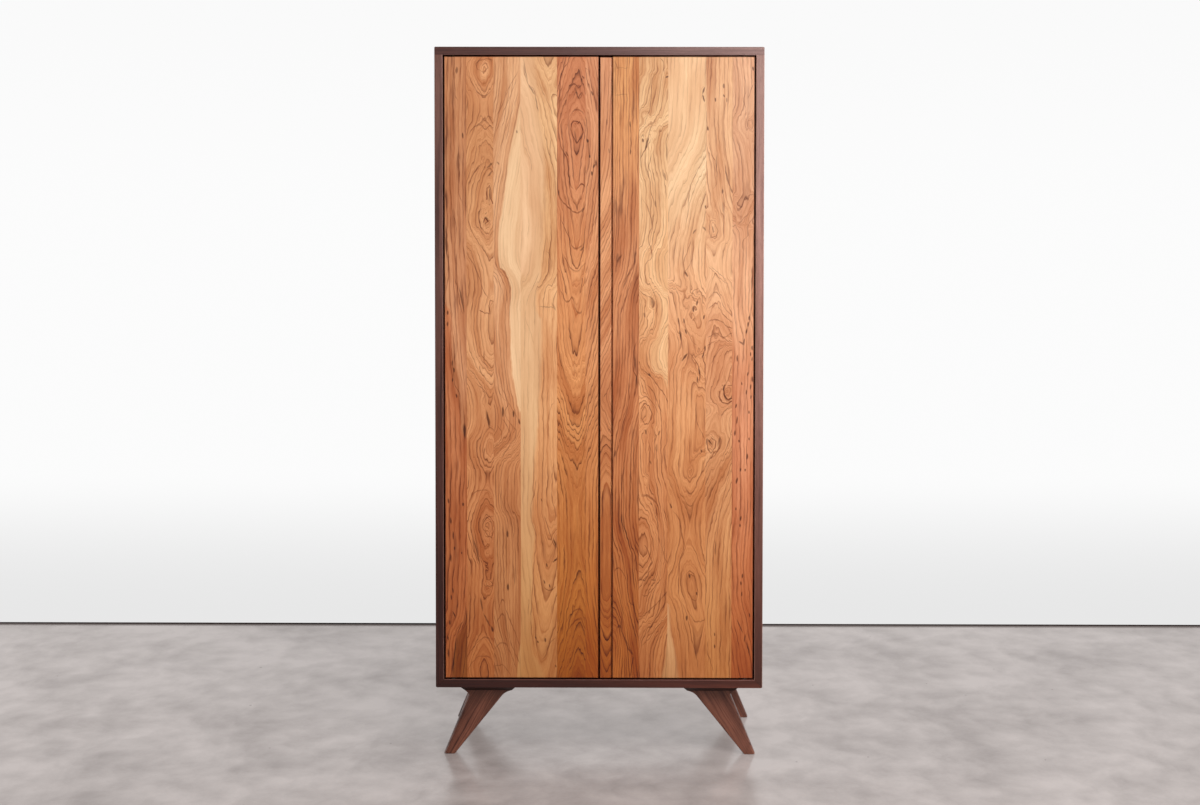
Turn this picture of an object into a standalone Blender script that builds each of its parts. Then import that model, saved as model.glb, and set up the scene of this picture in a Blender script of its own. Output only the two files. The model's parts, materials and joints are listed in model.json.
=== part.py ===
"""Tall storage cabinet on splayed legs.

A walnut case, with a lapped top board and mitred bottom corners, stands on four
tapered legs that sweep up into chamfered mounting plates. Two inset doors are
glued up from cherry boards, kept flat by dovetailed battens, and turn on pivots
hidden in their ends. The right door carries a narrow strip beside a shadow slot.
Touch latches under the top board hold the doors, so the fronts stay bare.

Metres, +Z up, doors facing -Y, origin on the floor under the middle of the case.
"""
from math import cos, radians, sin, sqrt

import bmesh
import bpy
from mathutils import Vector

# Case
CASE_WIDTH = 0.914
CASE_DEPTH = 0.508
CASE_HEIGHT = 1.788
CASE_BOARD = 0.023
CORNER_ROUND = 0.003
OUTER_ARRIS = 0.002
INNER_ARRIS = 0.0022
TOP_UNDER_ARRIS = 0.0012
TONGUE_WIDTH = 0.008
TONGUE_HEIGHT = 0.008
TONGUE_STOP = 0.030
BACK_PANEL_THICKNESS = 0.006
BACK_RECESS_DEPTH = 0.008
BACK_RECESS_LAP = 0.010

# Fits between pieces that are glued or seated, and between those that slide
SEAT_GAP = 0.0003
LOOSE_GAP = 0.001
OVERRUN = 0.005

# Doors
DOOR_THICKNESS = 0.022
DOOR_RECESS = 0.002
DOOR_GAP = 0.004
MEETING_GAP = 0.004
DOOR_ARRIS = 0.001
LEFT_BOARD_SHARES = (22.0, 27.0, 27.0, 36.5, 28.5, 13.0)
RIGHT_BOARD_SHARES = (26.5, 29.0, 38.0, 26.5, 21.7)
STRIP_WIDTH = 0.031
STRIP_TOP_DROP = 0.0015
SLOT_WIDTH = 0.0042
SLOT_DEPTH = 0.010
STRIP_TONGUE_THICKNESS = 0.006
STRIP_TONGUE_LENGTH = 0.008

# Battens behind the doors
BATTEN_HEIGHT = 0.060
BATTEN_PROUD = 0.014
BATTEN_CHAMFER = 0.004
DOVETAIL_DEPTH = 0.007
DOVETAIL_NECK = 0.034
DOVETAIL_FLARE = 0.003
BATTEN_HINGE_SETBACK = 0.045
BATTEN_STOP = 0.060
BATTEN_END_SLOPE = 0.014
BATTEN_HEIGHT_SHARES = (0.12, 0.50, 0.88)

# Pivot hinges
PIVOT_INSET = 0.022
LEAF_LENGTH = 0.052
LEAF_WIDTH = 0.012
LEAF_THICKNESS = 0.0025
PIVOT_PIN_RADIUS = 0.003
PIVOT_PIN_TIP = 0.004
PIVOT_CLEARANCE = 0.0004
SHOULDER_RADIUS = 0.005
SHOULDER_CLEARANCE = 0.0005
LEAF_SCREW_RADIUS = 0.0019
LEAF_SCREW_HEAD_RADIUS = 0.0038
LEAF_SCREW_SHARES = (0.42, 0.82)

# Touch latches
LATCH_OFFSET = 0.075
LATCH_DROP = 0.0130
LATCH_LENGTH = 0.048
LATCH_BODY_WIDTH = 0.020
LATCH_BODY_HEIGHT = 0.021
LATCH_BODY_ROUND = 0.005
LATCH_FLANGE_WIDTH = 0.009
LATCH_FLANGE_THICKNESS = 0.003
LATCH_BORE_RADIUS = 0.0052
LATCH_BORE_DEPTH = 0.040
LATCH_SCREW_RADIUS = 0.0020
LATCH_SCREW_SHARES = (0.22, 0.78)
PLUNGER_RADIUS = 0.0047
PLUNGER_LENGTH = 0.028
PLUNGER_TIP_RADIUS = 0.006
PLUNGER_TIP_LENGTH = 0.004
PLUNGER_NECK = 0.004
PLUNGER_CHAMFER = 0.0006
STRIKE_RADIUS = 0.008
STRIKE_THICKNESS = 0.0015
STRIKE_HOLE_RADIUS = 0.0018
STRIKE_SINK_RADIUS = 0.0034
STRIKE_CHAMFER = 0.0004

# Shelves and the pins that carry them
SHELF_THICKNESS = 0.019
SHELF_ARRIS = 0.003
SHELF_SETBACK = 0.006
SHELF_END_GAP = 0.001
HOUSING_DEPTH = 0.007
PIN_RADIUS = 0.0025
PIN_LENGTH_IN = 0.010
PIN_HEAD_RADIUS = 0.0040
PIN_HEAD_LENGTH = 0.009
PIN_CHAMFER = 0.0006
PIN_HOLE_CLEARANCE = 0.0003
PIN_EDGE_DISTANCE = 0.060
PIN_PITCH = 0.032
PIN_HOLES_EACH_WAY = 2

# Legs and their mounting plates, measured inward from the case's sides
LEG_HEIGHT = 0.201
LEG_INSET = 0.045
LEG_THICKNESS = 0.046
LEG_FOOT_THICKNESS = 0.034
FOOT_OUTER = 0.0165
FOOT_WIDTH = 0.0315
FOOT_EASE = 0.0015
LEG_TOP_OUTER = 0.087
LEG_TOP_WIDTH = 0.104
LEG_OUTER_ROUND = 0.009
LEG_INNER_ROUND = 0.004
LEG_TOP_ROUND = 0.0015
SHOULDER_HEIGHT = 0.011
FLARE_DROP = 0.016
FLARE_CONTROL_DROP = 0.0045
PLATE_LENGTH = 0.152
PLATE_OUTER = 0.067
PLATE_EDGE = 0.0095
PLATE_CHAMFER = 0.0095
TENON_LENGTH = 0.044
TENON_WIDTH = 0.022
TENON_HEIGHT = 0.013
TENON_ROUND = 0.003
TENON_PLACE_SHARE = 0.42

# Facets
ARC_STEPS = 3
DOOR_ARRIS_STEPS = 2
PIN_SIDES = 24
HOLE_SIDES = 12
SCREW_SIDES = 12
FLARE_STEPS = 5
SMOOTH_ANGLE = radians(35)
NEAR = 0.00002

# Looks: base colour, roughness, metallic
WALNUT = ((0.105, 0.060, 0.043), 0.42, 0.0)
WALNUT_LEG = ((0.150, 0.085, 0.062), 0.45, 0.0)
WALNUT_INSIDE = ((0.130, 0.076, 0.052), 0.50, 0.0)
PANEL_VENEER = ((0.170, 0.105, 0.072), 0.55, 0.0)
CHERRY_RED = ((0.330, 0.135, 0.070), 0.38, 0.0)
CHERRY_BROWN = ((0.270, 0.120, 0.068), 0.38, 0.0)
CHERRY_TAN = ((0.430, 0.215, 0.120), 0.38, 0.0)
CHERRY_PALE = ((0.560, 0.350, 0.215), 0.38, 0.0)
CHERRY_INSIDE = ((0.360, 0.165, 0.090), 0.45, 0.0)
STEEL = ((0.560, 0.555, 0.540), 0.32, 1.0)
BRASS = ((0.640, 0.470, 0.200), 0.30, 1.0)
BLACK_PLASTIC = ((0.030, 0.028, 0.026), 0.45, 0.0)
NYLON = ((0.720, 0.700, 0.650), 0.50, 0.0)

LEFT_BOARD_LOOKS = (CHERRY_BROWN, CHERRY_TAN, CHERRY_RED, CHERRY_PALE, CHERRY_RED, CHERRY_RED)
RIGHT_BOARD_LOOKS = (CHERRY_BROWN, CHERRY_TAN, CHERRY_PALE, CHERRY_TAN, CHERRY_RED)

# Places worked out from the sizes above
LEFT, RIGHT = -1, 1
SIDES = (("left", LEFT), ("right", RIGHT))
CASE_LOW = LEG_HEIGHT
CASE_HIGH = LEG_HEIGHT + CASE_HEIGHT
CASE_FRONT = -CASE_DEPTH / 2
CASE_BACK = CASE_DEPTH / 2
HALF_WIDTH = CASE_WIDTH / 2
INSIDE = HALF_WIDTH - CASE_BOARD
INSIDE_LOW = CASE_LOW + CASE_BOARD
INSIDE_HIGH = CASE_HIGH - CASE_BOARD
DOOR_WIDTH = INSIDE - DOOR_GAP - MEETING_GAP / 2
DOOR_LOW = INSIDE_LOW + DOOR_GAP
DOOR_HIGH = INSIDE_HIGH - DOOR_GAP
DOOR_FRONT = CASE_FRONT + DOOR_RECESS
DOOR_BACK = DOOR_FRONT + DOOR_THICKNESS
PIVOT_X = INSIDE - DOOR_GAP - PIVOT_INSET
PIVOT_Y = DOOR_FRONT + DOOR_THICKNESS / 2
SHELF_FRONT = DOOR_BACK + BATTEN_PROUD + SHELF_SETBACK
PANEL_FRONT = CASE_BACK - BACK_RECESS_DEPTH
SHELF_BACK = PANEL_FRONT - LOOSE_GAP
MIDDLE_SHELF_LOW = (INSIDE_LOW + INSIDE_HIGH - SHELF_THICKNESS) / 2
LOWER_SHELF_LOW = (INSIDE_LOW + MIDDLE_SHELF_LOW - SHELF_THICKNESS) / 2
UPPER_SHELF_LOW = (MIDDLE_SHELF_LOW + INSIDE_HIGH) / 2
LOOSE_SHELVES = (("lower_shelf", LOWER_SHELF_LOW), ("upper_shelf", UPPER_SHELF_LOW))
PIN_DEPTHS = (("front", SHELF_FRONT + PIN_EDGE_DISTANCE), ("rear", SHELF_BACK - PIN_EDGE_DISTANCE))
PLATE_LOW = LEG_HEIGHT - PLATE_EDGE - PLATE_CHAMFER


def clear_scene():
    """Start from an empty file."""
    for obj in list(bpy.data.objects):
        bpy.data.objects.remove(obj, do_unlink=True)


def finish(name, look):
    """One Principled material for one piece."""
    colour, roughness, metallic = look
    material = bpy.data.materials.new(name + "_finish")
    material.use_nodes = True
    shader = material.node_tree.nodes["Principled BSDF"]
    shader.inputs["Base Color"].default_value = (*colour, 1.0)
    shader.inputs["Roughness"].default_value = roughness
    shader.inputs["Metallic"].default_value = metallic
    material.diffuse_color = (*colour, 1.0)
    return material


def place(name, bm, location, parent):
    """Turn a bmesh into a linked object with its faces pointing out."""
    bmesh.ops.recalc_face_normals(bm, faces=bm.faces)
    mesh = bpy.data.meshes.new(name)
    bm.to_mesh(mesh)
    bm.free()
    mesh.shade_smooth()
    mesh.set_sharp_from_angle(angle=SMOOTH_ANGLE)
    obj = bpy.data.objects.new(name, mesh)
    bpy.context.collection.objects.link(obj)
    obj.parent = parent
    obj.location = location
    return obj


def add_piece(name, bm, look, location=(0, 0, 0), parent=None):
    """A real piece of the cabinet."""
    obj = place(name, bm, location, parent)
    obj.data.materials.append(finish(name, look))
    return obj


def add_helper(name, bm, location=(0, 0, 0), parent=None):
    """A hidden shape that cuts, or joins to, a piece."""
    obj = place(name, bm, location, parent)
    obj.hide_render = True
    obj.display_type = "WIRE"
    return obj


def combine(obj, helper, operation="DIFFERENCE"):
    """Cut the helper out of a piece, or join it on."""
    modifier = obj.modifiers.new(helper.name, "BOOLEAN")
    modifier.operation = operation
    modifier.solver = "EXACT"
    modifier.object = helper


def axis_order(axis):
    """How two outline coordinates and a height lie in space for one axis."""
    orders = {
        "X": lambda a, b, t: (t, a, b),
        "Y": lambda a, b, t: (a, t, b),
        "Z": lambda a, b, t: (a, b, t),
    }
    return orders[axis]


def loft(sections, bm=None):
    """Skin a row of closed sections that have as many points each, and cap both ends."""
    bm = bm or bmesh.new()
    loops = [[bm.verts.new(point) for point in section] for section in sections]
    for low, high in zip(loops, loops[1:]):
        for index in range(len(low)):
            after = (index + 1) % len(low)
            bm.faces.new((low[index], low[after], high[after], high[index]))
    bm.faces.new(list(reversed(loops[0])))
    bm.faces.new(loops[-1])
    return bm


def prism(outline, axis, low, high, bm=None):
    """Extrude an outline along one axis."""
    order = axis_order(axis)
    sections = [[order(a, b, height) for a, b in outline] for height in (low, high)]
    return loft(sections, bm)


def rectangle(a_low, a_high, b_low, b_high):
    return [(a_low, b_low), (a_high, b_low), (a_high, b_high), (a_low, b_high)]


def arc(centre_a, centre_b, radius, start, end, steps):
    """Points along an arc, both ends included; angles in degrees."""
    points = []
    for step in range(steps + 1):
        angle = radians(start + (end - start) * step / steps)
        points.append((centre_a + radius * cos(angle), centre_b + radius * sin(angle)))
    return points


def circle(centre_a, centre_b, radius, sides):
    return arc(centre_a, centre_b, radius, 0, 360, sides)[:-1]


def turned(profile, axis, sides, centre=(0, 0), closed=False, bm=None):
    """Revolve (radius, height) points; an open profile starts and ends on the axis."""
    bm = bm or bmesh.new()
    order = axis_order(axis)
    rings = []
    for radius, height in profile:
        if radius == 0:
            rings.append([bm.verts.new(order(centre[0], centre[1], height))])
            continue
        points = circle(centre[0], centre[1], radius, sides)
        rings.append([bm.verts.new(order(a, b, height)) for a, b in points])
    pairs = list(zip(rings, rings[1:]))
    if closed:
        pairs.append((rings[-1], rings[0]))
    for low, high in pairs:
        for index in range(sides):
            after = (index + 1) % sides
            corners = [low[index % len(low)], low[after % len(low)]]
            corners += [high[after % len(high)], high[index % len(high)]]
            bm.faces.new(list(dict.fromkeys(corners)))
    return bm


def soften(bm, width, steps, wanted):
    """Round every edge that the test wants."""
    edges = [edge for edge in bm.edges if wanted(edge)]
    bmesh.ops.bevel(bm, geom=edges, offset=width, offset_type="OFFSET", segments=steps,
                    profile=0.5, affect="EDGES", clamp_overlap=True)


def lies_on(edge, axis, value):
    return all(abs(vert.co[axis] - value) < NEAR for vert in edge.verts)


def middle(edge):
    return (edge.verts[0].co + edge.verts[1].co) / 2


# Case boards

def mitre_shift():
    """How far along X or Z each mitred end stands back, for a glue gap square to the mitre."""
    return SEAT_GAP * sqrt(2) / 2


def side_outline(side):
    """Side board seen from the front: rounded foot, mitre, tongue under the top board."""
    centre = -HALF_WIDTH + CORNER_ROUND
    corner = arc(centre, CASE_LOW + CORNER_ROUND, CORNER_ROUND, 180, 225, ARC_STEPS)
    corner[-1] = (corner[-1][0], corner[-1][1] + mitre_shift())
    tongue_low = -HALF_WIDTH + (CASE_BOARD - TONGUE_WIDTH) / 2
    points = corner + [
        (-INSIDE, INSIDE_LOW + mitre_shift()),
        (-INSIDE, INSIDE_HIGH),
        (tongue_low + TONGUE_WIDTH, INSIDE_HIGH),
        (tongue_low + TONGUE_WIDTH, INSIDE_HIGH + TONGUE_HEIGHT),
        (tongue_low, INSIDE_HIGH + TONGUE_HEIGHT),
        (tongue_low, INSIDE_HIGH),
        (-HALF_WIDTH, INSIDE_HIGH),
    ]
    return [(-side * x, z) for x, z in points]


def make_side(name, side, helpers):
    bm = prism(side_outline(side), "Y", CASE_FRONT, CASE_BACK)

    def outer(edge):
        at_end = lies_on(edge, 1, CASE_FRONT) or lies_on(edge, 1, CASE_BACK)
        return at_end and abs(middle(edge).x) > HALF_WIDTH - CORNER_ROUND

    def inner(edge):
        return lies_on(edge, 1, CASE_FRONT) and lies_on(edge, 0, side * INSIDE)

    soften(bm, OUTER_ARRIS, ARC_STEPS, outer)
    soften(bm, INNER_ARRIS, ARC_STEPS, inner)
    board = add_piece(name, bm, WALNUT)
    stops = bmesh.new()
    across = (side * (HALF_WIDTH + OVERRUN), side * (INSIDE - OVERRUN))
    for low, high in ((CASE_FRONT - OVERRUN, CASE_FRONT + TONGUE_STOP),
                      (CASE_BACK - TONGUE_STOP, CASE_BACK + OVERRUN)):
        prism(rectangle(min(across), max(across), low, high), "Z",
              INSIDE_HIGH, INSIDE_HIGH + TONGUE_HEIGHT + OVERRUN, stops)
    combine(board, add_helper(name + "_tongue_stops", stops))
    combine(board, helpers["back_recess"])
    combine(board, helpers["shelf_housing"])
    combine(board, pin_hole_cutter(name, side))
    return board


def pin_hole_cutter(name, side):
    """Rows of holes for the loose shelves' pins."""
    bm = bmesh.new()
    radius = PIN_RADIUS + PIN_HOLE_CLEARANCE
    ends = (side * (INSIDE - OVERRUN), side * (INSIDE + PIN_LENGTH_IN + PIN_HOLE_CLEARANCE))
    for _, shelf_low in LOOSE_SHELVES:
        for _, depth in PIN_DEPTHS:
            for step in range(-PIN_HOLES_EACH_WAY, PIN_HOLES_EACH_WAY + 1):
                height = pin_height(shelf_low) + step * PIN_PITCH
                prism(circle(depth, height, radius, HOLE_SIDES), "X", min(ends), max(ends), bm)
    return add_helper(name + "_pin_holes", bm)


def pin_height(shelf_low):
    """Axis of the pins under a loose shelf."""
    return shelf_low - SEAT_GAP - PIN_HEAD_RADIUS


def make_top(helpers):
    """Top board: laps over both sides."""
    right = HALF_WIDTH - CORNER_ROUND
    high = CASE_HIGH - CORNER_ROUND
    outline = [(-HALF_WIDTH, INSIDE_HIGH), (HALF_WIDTH, INSIDE_HIGH)]
    outline += arc(right, high, CORNER_ROUND, 0, 90, ARC_STEPS)
    outline += arc(-right, high, CORNER_ROUND, 90, 180, ARC_STEPS)
    bm = prism(outline, "Y", CASE_FRONT, CASE_BACK)

    def outer(edge):
        at_end = lies_on(edge, 1, CASE_FRONT) or lies_on(edge, 1, CASE_BACK)
        return at_end and not lies_on(edge, 2, INSIDE_HIGH)

    def under(edge):
        return lies_on(edge, 1, CASE_FRONT) and lies_on(edge, 2, INSIDE_HIGH)

    soften(bm, OUTER_ARRIS, ARC_STEPS, outer)
    soften(bm, TOP_UNDER_ARRIS, ARC_STEPS, under)
    board = add_piece("top_board", bm, WALNUT)
    grooves = bmesh.new()
    for _, side in SIDES:
        centre = side * (HALF_WIDTH - CASE_BOARD / 2)
        half = TONGUE_WIDTH / 2 + SEAT_GAP
        prism(rectangle(centre - half, centre + half,
                        CASE_FRONT + TONGUE_STOP - SEAT_GAP, CASE_BACK - TONGUE_STOP + SEAT_GAP),
              "Z", INSIDE_HIGH - OVERRUN, INSIDE_HIGH + TONGUE_HEIGHT + SEAT_GAP, grooves)
    combine(board, add_helper("top_board_grooves", grooves))
    combine(board, helpers["back_recess"])
    combine(board, case_leaf_cutter("top_board", INSIDE_HIGH, 1))


def make_bottom(helpers):
    """Bottom board: mitred to both sides."""
    low = CASE_LOW + CORNER_ROUND
    right = HALF_WIDTH - CORNER_ROUND
    left_corner = arc(-right, low, CORNER_ROUND, 225, 270, ARC_STEPS)
    left_corner[0] = (left_corner[0][0] + mitre_shift(), left_corner[0][1])
    right_corner = [(-x, z) for x, z in reversed(left_corner)]
    inner_end = INSIDE - mitre_shift()
    outline = left_corner + right_corner + [(inner_end, INSIDE_LOW), (-inner_end, INSIDE_LOW)]
    bm = prism(outline, "Y", CASE_FRONT, CASE_BACK)

    def outer(edge):
        at_end = lies_on(edge, 1, CASE_FRONT) or lies_on(edge, 1, CASE_BACK)
        return at_end and middle(edge).z < CASE_LOW + CORNER_ROUND

    def inner(edge):
        return lies_on(edge, 1, CASE_FRONT) and lies_on(edge, 2, INSIDE_LOW)

    soften(bm, OUTER_ARRIS, ARC_STEPS, outer)
    soften(bm, INNER_ARRIS, ARC_STEPS, inner)
    board = add_piece("bottom_board", bm, WALNUT)
    combine(board, helpers["back_recess"])
    combine(board, case_leaf_cutter("bottom_board", INSIDE_LOW, -1))


def make_back_panel():
    half = INSIDE + BACK_RECESS_LAP - SEAT_GAP
    low = INSIDE_LOW - BACK_RECESS_LAP + SEAT_GAP
    high = INSIDE_HIGH + BACK_RECESS_LAP - SEAT_GAP
    bm = prism(rectangle(-half, half, low, high), "Y",
               PANEL_FRONT, PANEL_FRONT + BACK_PANEL_THICKNESS)
    add_piece("back_panel", bm, PANEL_VENEER)


def back_recess_helper():
    """The rebate all round the back of the case."""
    half = INSIDE + BACK_RECESS_LAP
    bm = prism(rectangle(-half, half, INSIDE_LOW - BACK_RECESS_LAP, INSIDE_HIGH + BACK_RECESS_LAP),
               "Y", PANEL_FRONT, CASE_BACK + OVERRUN)
    return add_helper("back_recess", bm)


# Shelves

def shelf_mesh(half_length):
    """A shelf with a rounded front, its underside at height zero."""
    low = arc(SHELF_FRONT + SHELF_ARRIS, SHELF_ARRIS, SHELF_ARRIS, 180, 270, ARC_STEPS)
    high = arc(SHELF_FRONT + SHELF_ARRIS, SHELF_THICKNESS - SHELF_ARRIS, SHELF_ARRIS,
               90, 180, ARC_STEPS)
    outline = low + [(SHELF_BACK, 0), (SHELF_BACK, SHELF_THICKNESS)] + high
    return prism(outline, "X", -half_length, half_length)


def shelf_housing_helper():
    """The housings in both sides that take the middle shelf's ends."""
    half = INSIDE + HOUSING_DEPTH
    bm = prism(rectangle(-half, half, SHELF_FRONT - SEAT_GAP, PANEL_FRONT + OVERRUN), "Z",
               MIDDLE_SHELF_LOW - SEAT_GAP, MIDDLE_SHELF_LOW + SHELF_THICKNESS + SEAT_GAP)
    return add_helper("shelf_housing", bm)


def make_shelves():
    middle_half = INSIDE + HOUSING_DEPTH - SEAT_GAP
    add_piece("middle_shelf", shelf_mesh(middle_half), WALNUT_INSIDE, (0, 0, MIDDLE_SHELF_LOW))
    for name, low in LOOSE_SHELVES:
        add_piece(name, shelf_mesh(INSIDE - SHELF_END_GAP), WALNUT_INSIDE, (0, 0, low))


def make_shelf_pins():
    """Turned pins: a shank in the side board and a thicker head under the shelf."""
    profile = [(0, -PIN_HEAD_LENGTH), (PIN_HEAD_RADIUS - PIN_CHAMFER, -PIN_HEAD_LENGTH),
               (PIN_HEAD_RADIUS, -PIN_HEAD_LENGTH + PIN_CHAMFER), (PIN_HEAD_RADIUS, 0),
               (PIN_RADIUS, 0), (PIN_RADIUS, PIN_LENGTH_IN - PIN_CHAMFER),
               (PIN_RADIUS - PIN_CHAMFER, PIN_LENGTH_IN), (0, PIN_LENGTH_IN)]
    for shelf, low in LOOSE_SHELVES:
        for side_name, side in SIDES:
            outward = [(radius, side * height) for radius, height in profile]
            for depth_name, depth in PIN_DEPTHS:
                bm = turned(outward, "X", SCREW_SIDES)
                place_x = side * (INSIDE - SEAT_GAP)
                add_piece(f"{shelf}_pin_{side_name}_{depth_name}", bm, BRASS,
                          (place_x, depth, pin_height(low)))


# Doors

def door_x(side, distance):
    """X in a door's own frame, at a distance from its hinge edge."""
    return side * (PIVOT_INSET - distance)


def door_y(depth):
    """Y in a door's own frame, at a depth behind its face."""
    return depth - DOOR_THICKNESS / 2


def add_door_axis(name, side):
    """The empty on the pivot axis that carries a door."""
    axis = bpy.data.objects.new(name + "_axis", None)
    axis.location = (side * PIVOT_X, PIVOT_Y, 0)
    bpy.context.collection.objects.link(axis)
    return axis


def soften_door_edges(bm, side, rounded_ends):
    """Ease the ends and faces of a door board, and its free long edges."""
    faces = (door_y(0), door_y(DOOR_THICKNESS))
    free = [door_x(side, distance) for distance in rounded_ends]

    def wanted(edge):
        on_face = any(lies_on(edge, 1, y) for y in faces)
        at_free_side = any(lies_on(edge, 0, x) for x in free)
        level = abs(edge.verts[0].co.z - edge.verts[1].co.z) < NEAR
        return (on_face and (level or at_free_side)) or (at_free_side and level)

    soften(bm, DOOR_ARRIS, DOOR_ARRIS_STEPS, wanted)


def share_stops(shares, start, end):
    """Where the joints fall when boards share a width."""
    stops = [start]
    for index in range(1, len(shares)):
        stops.append(start + (end - start) * sum(shares[:index]) / sum(shares))
    return stops + [end]


def board_outline(side, near, far, grooved):
    """A door board seen from above; the one beside the slot is grooved for the strip."""
    points = [(near, 0), (far, 0)]
    if grooved:
        groove_front = SLOT_DEPTH - SEAT_GAP
        groove_back = SLOT_DEPTH + STRIP_TONGUE_THICKNESS + SEAT_GAP
        groove_floor = far - STRIP_TONGUE_LENGTH - SEAT_GAP
        points += [(far, groove_front), (groove_floor, groove_front),
                   (groove_floor, groove_back), (far, groove_back)]
    points += [(far, DOOR_THICKNESS), (near, DOOR_THICKNESS)]
    return [(door_x(side, distance), door_y(depth)) for distance, depth in points]


def make_door_boards(name, side, axis, cutters):
    """The glued-up boards, counted from the left as the door is seen."""
    if side == LEFT:
        shares, looks = LEFT_BOARD_SHARES, LEFT_BOARD_LOOKS
        width = DOOR_WIDTH
    else:
        shares, looks = tuple(reversed(RIGHT_BOARD_SHARES)), tuple(reversed(RIGHT_BOARD_LOOKS))
        width = DOOR_WIDTH - STRIP_WIDTH - SLOT_WIDTH
    stops = share_stops(shares, 0, width)
    last = len(shares) - 1
    groove_end = DOOR_WIDTH - BATTEN_STOP
    for index, (near, far) in enumerate(zip(stops, stops[1:])):
        grooved = side == RIGHT and index == last
        bm = prism(board_outline(side, near, far, grooved), "Z", DOOR_LOW, DOOR_HIGH)
        free_ends = [0] if index == 0 else [width] if index == last else []
        soften_door_edges(bm, side, free_ends)
        number = index + 1 if side == LEFT else len(shares) - index
        board = add_piece(f"{name}_board_{number}", bm, looks[index], parent=axis)
        if near < groove_end:
            combine(board, cutters["grooves"])
        if near < PIVOT_INSET + LEAF_LENGTH + SEAT_GAP:
            combine(board, cutters["leaves"])
            combine(board, cutters["pins"])


def make_strip(axis):
    """The narrow strip at the right door's meeting edge, tongued into the next board."""
    near = DOOR_WIDTH - STRIP_WIDTH
    slot_far = near - SLOT_WIDTH
    tongue_end = slot_far - STRIP_TONGUE_LENGTH
    tongue_back = SLOT_DEPTH + STRIP_TONGUE_THICKNESS
    shoulder = slot_far + SEAT_GAP
    points = [(DOOR_WIDTH, 0), (near, 0), (near, SLOT_DEPTH), (tongue_end, SLOT_DEPTH),
              (tongue_end, tongue_back), (shoulder, tongue_back), (shoulder, DOOR_THICKNESS),
              (DOOR_WIDTH, DOOR_THICKNESS)]
    outline = [(door_x(RIGHT, distance), door_y(depth)) for distance, depth in points]
    bm = prism(outline, "Z", DOOR_LOW, DOOR_HIGH - STRIP_TOP_DROP)
    soften_door_edges(bm, RIGHT, [DOOR_WIDTH, near])
    add_piece("right_door_strip", bm, CHERRY_BROWN, parent=axis)


def batten_heights():
    return [DOOR_LOW + (DOOR_HIGH - DOOR_LOW) * share for share in BATTEN_HEIGHT_SHARES]


def dovetail_outline(height, gap):
    """Dovetail in the door's back, as depth and height points from the mouth inward."""
    neck = DOVETAIL_NECK / 2 + gap
    root = neck + DOVETAIL_FLARE
    back = door_y(DOOR_THICKNESS)
    floor = back - DOVETAIL_DEPTH - gap
    return [(back, height - neck), (floor, height - root), (floor, height + root),
            (back, height + neck)]


def make_battens(name, side, axis):
    """Dovetailed battens; the proud part stops short of the hinge edge and ends on a slope."""
    back = door_y(DOOR_THICKNESS)
    proud = back + BATTEN_PROUD
    half = BATTEN_HEIGHT / 2
    start, end = LOOSE_GAP, DOOR_WIDTH - BATTEN_STOP - LOOSE_GAP
    for number, height in enumerate(batten_heights(), start=1):
        seat = back + SEAT_GAP
        outline = dovetail_outline(height, 0)
        neck = DOVETAIL_NECK / 2
        outline[0] = (seat, height - neck)
        outline[-1] = (seat, height + neck)
        outline += [(seat, height + half), (proud - BATTEN_CHAMFER, height + half),
                    (proud, height + half - BATTEN_CHAMFER), (proud, height - half + BATTEN_CHAMFER),
                    (proud - BATTEN_CHAMFER, height - half), (seat, height - half)]
        ends = sorted((door_x(side, start), door_x(side, end)))
        batten = add_piece(f"{name}_batten_{number}", prism(outline, "X", *ends),
                           CHERRY_INSIDE, parent=axis)
        combine(batten, batten_end_cutter(batten.name, side, axis, height, start, end))


def batten_end_cutter(name, side, axis, height, start, end):
    """Cuts the proud part back from the hinge edge, and slopes both of its ends."""
    back = door_y(DOOR_THICKNESS) + SEAT_GAP
    beyond = back + BATTEN_PROUD + OVERRUN
    slope = BATTEN_END_SLOPE * (beyond - back) / BATTEN_PROUD
    near = BATTEN_HINGE_SETBACK
    low, high = height - BATTEN_HEIGHT / 2 - OVERRUN, height + BATTEN_HEIGHT / 2 + OVERRUN
    hinge_end = [(start - OVERRUN, back), (near, back), (near + slope, beyond),
                 (start - OVERRUN, beyond)]
    free_end = [(end + OVERRUN, back - OVERRUN * BATTEN_PROUD / BATTEN_END_SLOPE),
                (end + OVERRUN, beyond), (end - slope, beyond)]
    bm = bmesh.new()
    for outline in (hinge_end, free_end):
        prism([(door_x(side, distance), depth) for distance, depth in outline], "Z", low, high, bm)
    return add_helper(name + "_ends", bm, parent=axis)


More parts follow.
